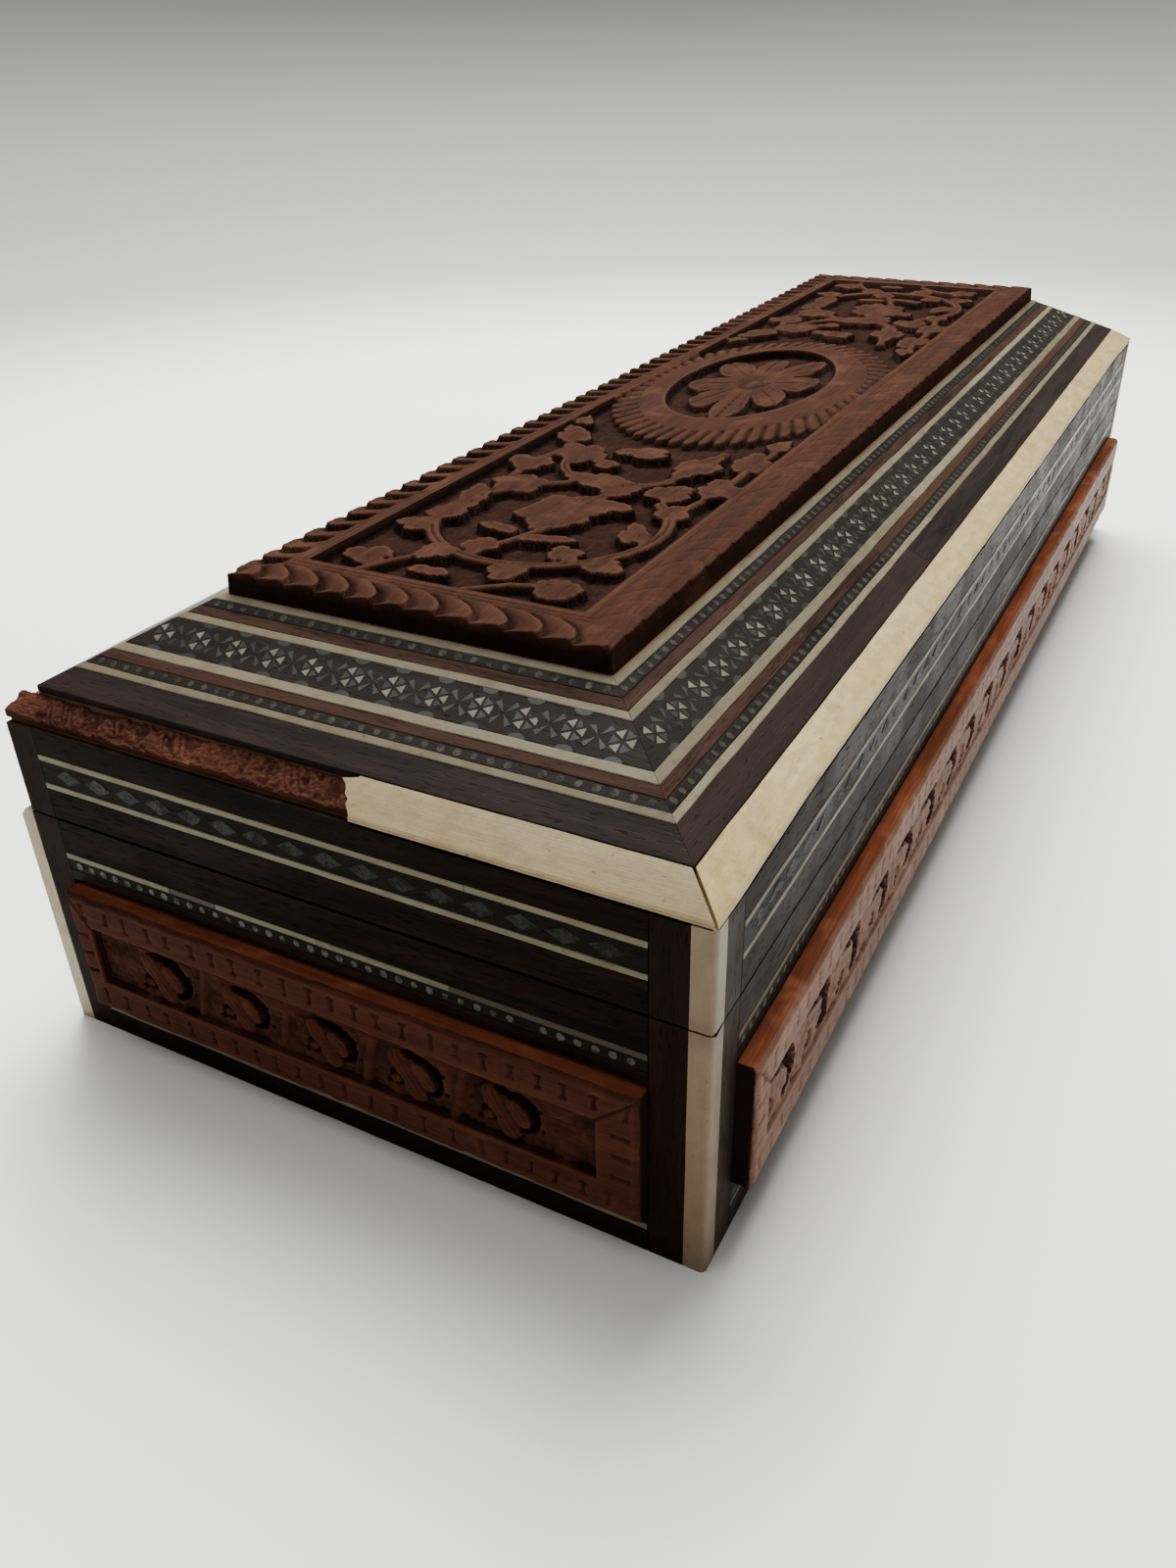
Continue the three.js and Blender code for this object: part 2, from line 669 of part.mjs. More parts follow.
const stems = [
  { points: arcPoints([-88, -1], 18, 78, 318, 12), width: 1.9, steps: 16 },
  { points: arcPoints([-57, 0], 12, 60, 235, 6), width: 1.9, steps: 8 },
  { points: [[-116, 14.5], [-111, 12], [-106, 8]], width: 1.6, steps: 2 },
  { points: [[-116, -3], [-112, -8], [-110, -14]], width: 1.6, steps: 2 },
  { points: [[-90, -2], [-98, 1], [-104, 4]], width: 1.7, steps: 2 },
  { points: [[-76, -2], [-71, -4], [-64, -9], [-57, -11], [-46, -12]], width: 2.2, steps: 6 },
  { points: [[-82, 16], [-74, 11], [-68, 3], [-70, -4]], width: 2, steps: 5 },
  { points: [[-78, 15], [-64, 17], [-52, 15], [-42, 19]], width: 2, steps: 5 },
  { points: [[-76, -17], [-66, -19], [-52, -19], [-38, -20]], width: 1.8, steps: 5 },
];

function foliage() {
  const high = reliefTop - foliageDrop;
  const pieces = [];
  for (const mirror of [1, -1]) {
    const flip = (outline) => outline.map(([x, y]) => [mirror * x, y]);
    for (const [at, size, lobes, turn] of leaves) {
      const outline = lobedOutline(at, size, lobes, foliageNotch, THREE.MathUtils.degToRad(turn));
      pieces.push(solidOf(plan(flip(outline), sunk, high)));
    }
    for (const { points, width, steps } of stems) {
      const outline = flip(stemOutline(points, width, steps));
      pieces.push(solidOf(plan(outline, sunk, high - foliageDrop)));
    }
  }
  return joined(pieces);
}

function medallionRelief() {
  const disc = (size, low, high) => solidOf(plan(ellipseOutline(size, medallion.steps), low, high));
  const ring = disc(medallion.ring, sunk, reliefTop);
  const recess = disc(medallion.recess, ground, reliefTop + over);
  const ribs = Array.from({ length: medallion.ribs }, (_, i) => {
    const angle = (t) => ((i + t) / medallion.ribs) * 2 * Math.PI;
    const at = (share, t) => {
      const [a, b] = medallion.outer.map((outer, k) => outer * share + medallion.ring[k] * (1 - share));
      return [a * Math.cos(angle(t)), b * Math.sin(angle(t))];
    };
    const outline = medallion.ribOutline.map(([share, t]) => at(share, t));
    return solidOf(plan(outline, sunk, reliefTop - medallion.ribDrop));
  });
  const flower = lobedOutline([0, 0], medallion.flower, medallion.petals, medallion.petalNotch, 0);
  const petals = solidOf(plan(flower, sunk, reliefTop - medallion.petalDrop));
  return ring.subtract(recess).add(joined(ribs)).add(petals);
}

function carvedLidPanel() {
  const slabTop = reliefTop - lobeRise;
  const slab = solidOf(taperedSlab(...panelHalf, reliefTaper, reliefFoot, reliefTop));
  const field = box([-fieldHalf[0], fieldHalf[0]], [-fieldHalf[1], fieldHalf[1]], [ground, reliefTop + over]);
  const borderRoom = cut(box([-boxLength, boxLength], [-boxWidth, boxWidth], [slabTop, reliefTop + over]), [
    box([-mouldingHalf[0], mouldingHalf[0]], [-mouldingHalf[1], mouldingHalf[1]], [ground, reliefTop + 2 * over]),
  ]);
  const lobes = [
    borderSide(false),
    turned(borderSide(true), Math.PI / 2),
    turned(borderSide(false), Math.PI),
    turned(borderSide(true), -Math.PI / 2),
  ];
  const inField = box([-fieldHalf[0], fieldHalf[0]], [-fieldHalf[1], fieldHalf[1]], [sunk, reliefTop + over]);
  const oval = solidOf(plan(ellipseOutline(medallion.outer, medallion.steps), sunk, reliefTop + over));
  const relief = foliage().subtract(oval).add(medallionRelief()).intersect(inField);
  return slab.subtract(borderRoom).add(joined(lobes)).subtract(field).add(relief);
}

add(lid, "carved_lid_panel", carvedLidPanel(), finishes.carved);

// Butt hinges, as the back wall has them

const hinges = { box: wallGroup(boxBody, walls.back), lid: wallGroup(lid, walls.back) };
hingeCentres.forEach((centre, index) => {
  const name = ["right", "left"][index];
  const half = hingeLength / 2;
  const third = hingeLength / 3;
  const knuckle = (from, to) => hingeBar(barrelRadius, centre + from, centre + to);
  const roomFor = (from, to) => hingeBar(barrelRadius + barrelRoom / 2, centre + from, centre + to);
  const bore = hingeBar(pinRadius + pinRoom, centre - half - over, centre + half + over);
  const y = [hingeInset - boxWidth / 2, leafBack - boxWidth / 2];
  const plate = (z) => box([centre - half, centre + half], y, z);
  const middle = [-third / 2 - knuckleGap / 2, third / 2 + knuckleGap / 2];
  const boxLeaf = joined([
    plate([boxHeight - leafThickness, boxHeight]),
    knuckle(-half, middle[0] - knuckleGap / 2),
    knuckle(middle[1] + knuckleGap / 2, half),
  ]);
  const lidLeaf = plate([lidBottom, lidBottom + leafThickness]).add(
    knuckle(middle[0] + knuckleGap / 2, middle[1] - knuckleGap / 2),
  );
  const lidLeafRoom = [
    roomFor(-half - over, middle[0] + knuckleGap / 2),
    roomFor(middle[1] - knuckleGap / 2, half + over),
  ];
  const boxLeafRoom = roomFor(middle[0] - knuckleGap / 2, middle[1] + knuckleGap / 2);
  add(hinges.box, `hinge_leaf_box_${name}`, cut(boxLeaf, [boxLeafRoom, bore]), finishes.brass);
  add(hinges.lid, `hinge_leaf_lid_${name}`, cut(lidLeaf, [...lidLeafRoom, bore]), finishes.brass);
  add(hinges.box, `hinge_pin_${name}`, hingeBar(pinRadius, centre - half, centre + half), finishes.brass);
});

export default part;
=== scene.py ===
import bpy
import bmesh
import math
import numpy as np
from functools import partial
from mathutils import Matrix, Vector, noise


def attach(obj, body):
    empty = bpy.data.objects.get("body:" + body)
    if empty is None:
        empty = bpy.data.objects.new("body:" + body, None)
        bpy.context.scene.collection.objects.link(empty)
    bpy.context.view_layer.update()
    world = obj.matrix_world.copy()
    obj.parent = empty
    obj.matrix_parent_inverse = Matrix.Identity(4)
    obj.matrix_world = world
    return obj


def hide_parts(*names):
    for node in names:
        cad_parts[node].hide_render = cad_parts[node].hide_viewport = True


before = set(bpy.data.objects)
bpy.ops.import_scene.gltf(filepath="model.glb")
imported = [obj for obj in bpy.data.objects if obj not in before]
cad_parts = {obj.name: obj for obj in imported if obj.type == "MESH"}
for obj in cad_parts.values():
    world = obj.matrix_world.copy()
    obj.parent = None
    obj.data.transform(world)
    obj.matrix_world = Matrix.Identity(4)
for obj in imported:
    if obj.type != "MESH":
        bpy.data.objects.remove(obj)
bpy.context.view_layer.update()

# Sizes here are in millimetres, as the box was measured; makePiece turns them into metres.
boxForm = {"length": 300, "width": 110, "height": 40, "strip": 3, "endStrip": 5, "veneer": 1, "glue": 0.05}
slopeForm = {"edging": 4.95, "foot": 55.5, "rise": 3.1, "ratio": 0.506}
glue = boxForm["glue"]
scene = bpy.context.scene


def addObject(name, data):
    made = bpy.data.objects.new(name, data)
    scene.collection.objects.link(made)
    return made


# Camera

view = {
    "place": (-246.627, -92.877, 136.466), "looks": (0.748542, 0.408956, -0.521958),
    "up": (0.470639, 0.226833, 0.852670), "lens": 28.757, "sensor": 36, "nearest": 0.01,
}


def setCamera():
    data = bpy.data.cameras.new("camera")
    data.lens, data.sensor_width, data.clip_start = view["lens"], view["sensor"], view["nearest"]
    looks = Vector(view["looks"]).normalized()
    right = looks.cross(Vector(view["up"])).normalized()
    turn = Matrix((right, right.cross(looks), -looks)).transposed().to_4x4()
    scene.camera = addObject("camera", data)
    scene.camera.matrix_world = Matrix.Translation(Vector(view["place"]) / 1000) @ turn


setCamera()


# Shader building. A socket knows its own tree, so only the calls that are given no socket name a tree.

def setPort(socket, value):
    if isinstance(value, bpy.types.NodeSocket):
        socket.id_data.links.new(value, socket)
    else:
        socket.default_value = value


def addNode(tree, kind, values=None, **settings):
    made = tree.nodes.new(kind)
    for name, value in settings.items():
        setattr(made, name, value)
    for label, value in (values or {}).items():
        setPort(made.inputs[label], value)
    return made


def joined(kind, values, **settings):
    tree = next(value.id_data for value in values.values() if isinstance(value, bpy.types.NodeSocket))
    return addNode(tree, kind, values, **settings).outputs[0]


def maths(operation, *values, clamp=False):
    return joined("ShaderNodeMath", dict(enumerate(values)), operation=operation, use_clamp=clamp)


def stretch(vector, scale):
    return joined("ShaderNodeVectorMath", {0: vector, 1: scale}, operation="MULTIPLY")


# The vector times across, and along the grain times along.
def scaled(vector, across, along=None):
    first = across if along is None else along
    return stretch(vector, joined("ShaderNodeCombineXYZ", {0: first, 1: across, 2: across}))


def remap(value, low, high, first=0.0, last=1.0):
    ports = {"Value": value, "From Min": low, "From Max": high, "To Min": first, "To Max": last}
    return joined("ShaderNodeMapRange", ports, interpolation_type="SMOOTHSTEP")


def noiseOf(vector, detail, rough, distortion=0.0):
    ports = {"Vector": vector, "Scale": 1.0, "Detail": detail, "Roughness": rough, "Distortion": distortion}
    return joined("ShaderNodeTexNoise", ports)


def mixed(share, first, second):
    ports = {0: share, 6: first, 7: second}
    return addNode(share.id_data, "ShaderNodeMix", ports, data_type="RGBA").outputs[2]


# Colours laid over a face in turn, each with its mask, where that begins and is full, and its share.
def layered(face, *layers):
    for mask, low, high, share, colour in layers:
        face = mixed(remap(mask, low, high, 0, share), face, colour)
    return face


def tint(red, green, blue):
    channels = [c / 255 for c in (red, green, blue)]
    return tuple(c / 12.92 if c <= 0.04045 else ((c + 0.055) / 1.055) ** 2.4 for c in channels) + (1.0,)


def newTree(name, kind, inputs, outputs):
    tree = bpy.data.node_groups.new(name, kind)
    for label, kind, value in inputs:
        socket = tree.interface.new_socket(label, in_out="INPUT", socket_type="NodeSocket" + kind)
        if value is not None:
            socket.default_value = value
    for label, kind in outputs:
        tree.interface.new_socket(label, in_out="OUTPUT", socket_type="NodeSocket" + kind)
    return tree, tree.nodes.new("NodeGroupInput").outputs, tree.nodes.new("NodeGroupOutput").inputs


# Grain of any wood: broad figure, fine fibres and open pores, with x along the grain in millimetres.
def makeWoodGrain():
    sizes = {"Figure Width": 3.0, "Fibre Width": 0.3, "Pore Length": 3.0}
    inputs = [("Wood", "Vector", None)] + [(label, "Float", size) for label, size in sizes.items()]
    outputs = [("Figure", "Float"), ("Fibre", "Float"), ("Pores", "Float")]
    group, given, out = newTree("woodGrain", "ShaderNodeTree", inputs, outputs)
    wood = given["Wood"]
    perFigure, perFibre, perPore = (maths("DIVIDE", 1.0, given[label]) for label in sizes)
    figure = noiseOf(scaled(wood, perFigure, maths("MULTIPLY", perFigure, 0.07)), 4, 0.6, 0.6)
    fibre = noiseOf(scaled(wood, perFibre, maths("MULTIPLY", perFibre, 0.03)), 2, 0.5)
    pores = remap(noiseOf(scaled(wood, perFibre, perPore), 1, 0.4), 0.6, 0.68)
    for index, value in enumerate((figure, fibre, pores)):
        setPort(out[index], value)
    return group


# Handling and age: soft blotches and fine dirt, in millimetres.
def makeHandling():
    inputs = [("Place", "Vector", None), ("Blotch Size", "Float", 12.0), ("Speck Size", "Float", 0.6)]
    outputs = [("Blotches", "Float"), ("Specks", "Float")]
    group, given, out = newTree("handling", "ShaderNodeTree", inputs, outputs)
    for size, label, detail in (("Blotch Size", "Blotches", 3), ("Speck Size", "Specks", 2)):
        per = maths("DIVIDE", 1.0, given[size])
        setPort(out[label], noiseOf(scaled(given["Place"], per), detail, 0.6))
    return group


woodGrain = makeWoodGrain()
handling = makeHandling()


def newMaterial(name):
    material = bpy.data.materials.new(name)
    material.use_nodes = True
    return material, material.node_tree, material.node_tree.nodes["Principled BSDF"]


def attribute(tree, name, output="Fac"):
    return addNode(tree, "ShaderNodeAttribute", attribute_name=name).outputs[output]


def objectPlace(tree):
    return stretch(addNode(tree, "ShaderNodeTexCoord").outputs["Object"], (1000, 1000, 1000))


# Where the pattern is read: the piece's own wood coordinates, or a CAD node's place turned to its grain.
def woodPlace(tree, grainAxis=None):
    if grainAxis is None:
        return attribute(tree, "wood", "Vector")
    apart = addNode(tree, "ShaderNodeSeparateXYZ", {0: objectPlace(tree)}).outputs
    order = {"x": (0, 1, 2), "y": (1, 0, 2), "z": (2, 0, 1)}[grainAxis]
    return joined("ShaderNodeCombineXYZ", {i: apart[k] for i, k in enumerate(order)})


def grainOf(place, figure, fibre, pore):
    ports = {"Wood": place, "Figure Width": figure, "Fibre Width": fibre, "Pore Length": pore}
    return addNode(place.id_data, "ShaderNodeGroup", ports, node_tree=woodGrain).outputs


def handlingOf(place, blotch, speck):
    ports = {"Place": place, "Blotch Size": blotch, "Speck Size": speck}
    return addNode(place.id_data, "ShaderNodeGroup", ports, node_tree=handling).outputs


# Puts the values and a bump on a Principled shader.
def dressShader(shader, values, height, distance, strength):
    bump = joined("ShaderNodeBump", {"Height": height, "Distance": distance, "Strength": strength})
    for label, value in {**values, "Normal": bump}.items():
        setPort(shader.inputs[label], value)


# Finishes

# In the carved looks, deep is the colour of the painted shade. depthShade, depthFrom and depthFull set how
# much painted shade the recesses take as they get deeper, and sideShade sets how much the steep sides and the
# skirts take. The pale rubbing colour serves both rubbed wear, laid on as blotches, and a painted highlight
# on the convex edges.
carvedLook = {
    "face": tint(51, 29, 20), "streak": tint(36, 21, 15), "rubAndHighlight": tint(70, 46, 33), "deep": tint(20, 13, 10),
    "roughness": 0.72, "depthShade": 0.68, "depthFull": 0.5, "sideShade": 0.92, "sheen": 0.01,
}
redLook = {
    "face": tint(66, 36, 25), "streak": tint(46, 25, 18), "rubAndHighlight": tint(90, 50, 33), "deep": tint(14, 8, 6),
    "roughness": 0.68, "depthShade": 0.75, "depthFull": 0.62, "sideShade": 0.8, "sheen": 0.02,
}
paleLook = {
    "face": tint(116, 79, 58), "streak": tint(92, 58, 41), "rubAndHighlight": tint(144, 108, 86),
    "deep": tint(44, 18, 12), "roughness": 0.5, "depthShade": 0.95, "depthFull": 0.46, "depthFrom": 0.1,
    "sideShade": 0.92, "sheen": 0.12,
}
# The sawn looks colour the wall panels' top, bottom and end faces: their lighter orange is part the bare sawn
# wood's own colour and part painted light on the top face.
sawnLitLook = {
    "face": tint(126, 64, 40), "streak": tint(86, 43, 27), "rubAndHighlight": tint(152, 92, 62), "deep": tint(26, 14, 10),
    "roughness": 0.8, "depthShade": 0.5, "depthFull": 0.5, "sideShade": 0.85, "sheen": 0.04,
}
sawnPaleLitLook = {**sawnLitLook, "face": tint(146, 78, 50), "rubAndHighlight": tint(170, 108, 74)}
seatLook = {
    "face": tint(62, 35, 26), "streak": tint(38, 22, 17), "rubAndHighlight": tint(84, 51, 37), "deep": tint(12, 7, 6),
    "roughness": 0.9, "depthShade": 0.5, "depthFull": 0.5, "sideShade": 0.8, "sheen": 0.01,
}

# In the plain woods, grain gives the width of the figure and of a fibre and the length of a pore.
rosewoodLook = {
    "dark": tint(10, 8, 7), "light": tint(34, 19, 14), "pore": tint(7, 5, 5), "roughness": 0.45,
    "sheen": 0.012, "figure": 0.75, "grain": (2.6, 0.22, 2.4),
}
# A lighter copy of the rosewood for the front veneers, painted light for the lit front, with more sheen for
# its polish.
rubbedLitLook = {**rosewoodLook, "dark": tint(19, 15, 12), "light": tint(48, 34, 25), "sheen": 0.032}
borderLook = {
    "dark": tint(22, 19, 18), "light": tint(41, 31, 28), "pore": tint(11, 9, 8), "roughness": 0.45,
    "sheen": 0.03, "figure": 1, "grain": (1.6, 0.22, 2.0),
}
brownLook = {
    "dark": tint(30, 20, 16), "light": tint(57, 40, 31), "pore": tint(16, 11, 8), "roughness": 0.5,
    "sheen": 0.02, "figure": 1, "grain": (1.2, 0.2, 2.0),
}
ebonyLook = {
    "dark": tint(20, 18, 16), "light": tint(34, 29, 25), "pore": tint(9, 8, 7), "roughness": 0.4,
    "sheen": 0.03, "figure": 1, "grain": (1.0, 0.2, 1.2),
}
# A darker copy of the ebony, painted shade for the walls other than the front.
shadedEbonyLook = {**ebonyLook, "light": tint(23, 20, 15), "sheen": 0.012}
sandalwoodLook = {
    "dark": tint(88, 60, 43), "light": tint(122, 89, 64), "pore": tint(56, 34, 23), "roughness": 0.6,
    "sheen": 0.04, "figure": 1, "grain": (5.0, 0.35, 3.0),
}
boneLook = {
    "cream": tint(131, 113, 76), "pale": tint(157, 143, 108), "stain": tint(96, 72, 44),
    "speck": tint(56, 40, 26), "worn": tint(92, 66, 36), "sheen": 0.4,
}
# A lighter copy of the bone for the front edging, painted light where it faces the light.
boneLitFrontLook = {**boneLook, "cream": tint(148, 126, 82), "pale": tint(174, 157, 112)}
inlayLook = {
    "cream": tint(104, 95, 75), "pale": tint(122, 116, 98), "stain": tint(76, 61, 44),
    "speck": tint(48, 38, 28), "worn": tint(52, 44, 34), "sheen": 0.06,
}
pewterLook = {
    "metal": tint(74, 72, 61), "dirtAndShade": tint(27, 24, 19), "metallic": 0.35, "roughness": 0.45, "speck": 0.35,
    "sheen": 0.2,
}
slopePewterLook = {
    "metal": tint(50, 47, 38), "dirtAndShade": tint(26, 23, 18), "metallic": 0.1, "roughness": 0.45, "speck": 0.5,
    "sheen": 0.08,
}
dullLook = {
    "metal": tint(34, 35, 30), "dirtAndShade": tint(20, 19, 16), "metallic": 0.15, "roughness": 0.45, "speck": 0.5,
    "sheen": 0.06,
}
brassLook = {
    "metal": tint(176, 140, 74), "dirtAndShade": tint(74, 54, 26), "metallic": 0.95, "roughness": 0.36, "speck": 0.5,
    "sheen": 0.2,
}


# Carved wood: the relief's own "deep", "hollow" and "steep" values paint shade into the recesses and onto the
# steep sides, with some grime, and paint the convex high edges pale, part rubbed wear and part painted
# highlight.
def carvedWood(name, look):
    material, tree, shader = newMaterial(name)
    place = woodPlace(tree)
    grain, wear = grainOf(place, 2.2, 0.28, 1.6), handlingOf(place, 9, 0.5)
    deep, hollow, steep = (attribute(tree, label) for label in ("deep", "hollow", "steep"))
    # Grain streaks, blotches of rubbed wear, and a pale painted highlight on the convex edges.
    face = layered(
        look["face"], (grain["Figure"], 0.3, 0.7, 1, look["streak"]),
        (wear["Blotches"], 0.5, 0.72, 0.7, look["rubAndHighlight"]), (grain["Fibre"], 0.42, 0.62, 0.4, look["streak"]),
        (hollow, 0.12, -0.35, 0.55, look["rubAndHighlight"]))
    # Painted shade, with some grime: the deeper places, the hollows and the steep sides are mixed toward the
    # deep colour.
    depth = remap(deep, look.get("depthFrom", 0.08), look["depthFull"], 0, look["depthShade"])
    dirtAndShade = maths("ADD", depth, remap(hollow, 0.0, 0.4, 0, 0.55), clamp=True)
    dirtAndShade = maths("MULTIPLY", dirtAndShade, remap(wear["Specks"], 0.2, 0.7, 0.7, 1.05), clamp=True)
    dirtAndShade = maths("MAXIMUM", dirtAndShade, maths("MULTIPLY", steep, look["sideShade"]))
    gloss = maths("ADD", remap(grain["Fibre"], 0.3, 0.7, -0.08, 0.1), look["roughness"])
    rough = maths("MULTIPLY", grain["Fibre"], remap(deep, 0.1, 0.9, 1.0, 2.4))
    dressShader(shader, {
        "Base Color": mixed(dirtAndShade, face, look["deep"]), "Specular IOR Level": look["sheen"],
        "Roughness": maths("ADD", gloss, maths("MULTIPLY", dirtAndShade, 0.3)),
    }, maths("ADD", rough, maths("MULTIPLY", wear["Specks"], 0.8)), 0.00018, 0.55)
    return material


def plainWood(name, look, grainAxis=None):
    material, tree, shader = newMaterial(name)
    place = woodPlace(tree, grainAxis)
    grain, wear = grainOf(place, *look["grain"]), handlingOf(place, 16, 0.8)
    face = layered(
        look["dark"], (grain["Figure"], 0.32, 0.68, look["figure"], look["light"]),
        (grain["Fibre"], 0.4, 0.66, 0.45, look["dark"]))
    if grainAxis is None:
        face = layered(face, (attribute(tree, "tone"), 0, 1, 0.6, look["light"]))
    face = mixed(maths("MULTIPLY", grain["Pores"], 0.4), face, look["pore"])
    gloss = maths("ADD", remap(wear["Blotches"], 0.35, 0.65, -0.06, 0.1), look["roughness"])
    height = maths("SUBTRACT", maths("MULTIPLY", grain["Fibre"], 0.35), grain["Pores"])
    dressShader(shader, {
        "Base Color": face, "Roughness": maths("ADD", gloss, maths("MULTIPLY", grain["Pores"], 0.25)),
        "Specular IOR Level": look["sheen"], "Specular Tint": (1.0, 0.9, 0.76, 1.0),
    }, height, 0.00008, 0.5)
    return material


def boneFinish(name, look, grainAxis=None):
    material, tree, shader = newMaterial(name)
    place = woodPlace(tree, grainAxis)
    wear = handlingOf(place, 7, 0.45)
    lines, fine, cloud, pits = (noiseOf(stretch(place, scale), detail, rough) for scale, detail, rough in (
        ((0.04, 0.7, 0.7), 3, 0.6), ((0.35, 5.5, 5.5), 2, 0.5), ((0.3, 0.6, 0.6), 5, 0.66),
        ((0.9, 1.6, 1.6), 2, 0.5)))
    face = mixed(remap(lines, 0.3, 0.7, 0.4, 0.7), look["cream"], look["pale"])
    face = layered(face, (cloud, 0.4, 0.68, 0.9, look["cream"]))
    if grainAxis is None:
        face = layered(face, (attribute(tree, "tone"), 0, 2, 1, look["worn"]))
    face = layered(
        face, (wear["Blotches"], 0.52, 0.78, 0.5, look["stain"]),
        (wear["Specks"], 0.5, 0.8, 0.3, look["stain"]), (fine, 0.6, 0.75, 0.14, look["stain"]),
        (pits, 0.7, 0.76, 0.7, look["speck"]))
    dressShader(shader, {
        "Base Color": face, "Roughness": remap(wear["Blotches"], 0.3, 0.7, 0.28, 0.46),
        "Specular IOR Level": look["sheen"], "Subsurface Weight": 0.12, "Subsurface Scale": 0.6,
        "Subsurface Radius": (0.0016, 0.0011, 0.0007),
    }, maths("ADD", fine, maths("MULTIPLY", lines, 0.6)), 0.00005, 0.4)
    return material


def metalFinish(name, look):
    material, tree, shader = newMaterial(name)
    wear = handlingOf(objectPlace(tree), 2.5, look["speck"])
    specks, blotches = remap(wear["Specks"], 0.42, 0.68, 0, 0.8), remap(wear["Blotches"], 0.44, 0.64, 0, 0.8)
    dirtAndShade = maths("ADD", specks, blotches, clamp=True)
    dressShader(shader, {
        "Base Color": mixed(dirtAndShade, look["metal"], look["dirtAndShade"]), "Specular IOR Level": look["sheen"],
        "Metallic": remap(dirtAndShade, 0, 1, look["metallic"], 0.1),
        "Roughness": remap(dirtAndShade, 0, 1, look["roughness"], 0.7),
    }, wear["Specks"], 0.00006, 0.5)
    return material


# A tessera's own tone, and dirt, lead from its light colour to its dark one.
def tesseraFinish(name, light, dark):
    material, tree, shader = newMaterial(name)
    wear = handlingOf(objectPlace(tree), 3.0, 0.3)
    share = maths("ADD", attribute(tree, "tone"), remap(wear["Specks"], 0.35, 0.7, -0.2, 0.3), clamp=True)
    dressShader(shader, {
        "Base Color": mixed(share, light, dark), "Roughness": remap(wear["Blotches"], 0.3, 0.7, 0.34, 0.52),
        "Specular IOR Level": 0.12,
    }, wear["Specks"], 0.00004, 0.4)
    return material


carvedFinish = carvedWood("carvedSandalwood", carvedLook)
redFinish = carvedWood("carvedRedSandalwood", redLook)
paleFinish = carvedWood("carvedPaleSandalwood", paleLook)
seatWood = carvedWood("tornSandalwood", seatLook)
sawnLitFinish = carvedWood("sawnLitSandalwood", sawnLitLook)
sawnPaleLit = carvedWood("sawnPaleLitSandalwood", sawnPaleLitLook)
rosewood = plainWood("rosewoodVeneer", rosewoodLook)
rosewoodRubbedLit = plainWood("rosewoodRubbedLit", rubbedLitLook)
borderWood = plainWood("rosewoodBorder", borderLook)
brownWood = plainWood("brownStringing", brownLook)
ebony = plainWood("ebonyStringing", ebonyLook)
shadedEbony = plainWood("shadedEbony", shadedEbonyLook)
sandalwood = {axis: plainWood("sandalwood" + axis.upper(), sandalwoodLook, axis) for axis in "xyz"}
rosewoodBack = plainWood("rosewoodBack", rosewoodLook, "x")
bone = boneFinish("bone", boneLook)
boneLitFront = boneFinish("boneLitFront", boneLitFrontLook)
boneInlay = boneFinish("boneInlay", inlayLook)
boneUpright = boneFinish("boneUpright", boneLook, "z")
pewter = metalFinish("pewter", pewterLook)
slopePewter = metalFinish("slopePewter", slopePewterLook)
dullPewter = metalFinish("dullPewter", dullLook)
brass = metalFinish("agedBrass", brassLook)
whiteTessera = tesseraFinish("whiteBoneTessera", tint(97, 93, 81), tint(80, 76, 63))
greenTessera = tesseraFinish("greenBoneTessera", tint(36, 37, 30), tint(24, 24, 20))
greyTessera = tesseraFinish("greyTessera", tint(41, 40, 33), tint(25, 24, 21))
print("finishes made")


# Places on the box

walls = {
    side: {"length": boxForm[length], "depth": boxForm[depth], "turn": quarters * math.pi / 2}
    for side, length, depth, quarters in (
        ("front", "length", "width", 0), ("right", "width", "length", 1), ("back", "length", "width", 2),
        ("left", "width", "length", -1))
}


def smooth(value, low, high):
    t = np.clip((value - low) / (high - low), 0, 1)
    return t * t * (3 - 2 * t)


def fade(value, low, high):
    return 1 - smooth(value, low, high)


def blend(first, second, share):
    return first * (1 - share) + second * share


# A point of a wall: u runs anticlockwise seen from above, inset runs inwards from the veneer's face.
def wallPoint(side, u, inset, z):
    wall = walls[side]
    y = inset - wall["depth"] / 2
    c, s = math.cos(wall["turn"]), math.sin(wall["turn"])
    return np.stack(np.broadcast_arrays(c * u - s * y, s * u + c * y, z), -1)


# The same on the slope of the lid, where lift is the height over its face.
def slopePoint(side, u, inset, lift):
    height = slopeForm["foot"] + slopeForm["rise"] + (inset - slopeForm["edging"]) * slopeForm["ratio"]
    return wallPoint(side, u, inset, height + lift)


# Half the length of a wall between its end strips.
def fieldHalf(side):
    return walls[side]["length"] / 2 - boxForm["strip"] - boxForm["endStrip"]


# Mesh building

def dress(piece, body, stoodFor=()):
    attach(piece, body)
    if stoodFor:
        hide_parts(*stoodFor)
    return piece


def addValues(mesh, label, data):
    data = np.asarray(data, dtype=np.float32)
    kind, key = ("FLOAT_VECTOR", "vector") if data.ndim == 2 else ("FLOAT", "value")
    mesh.attributes.new(label, kind, "POINT").data.foreach_set(key, data.ravel())


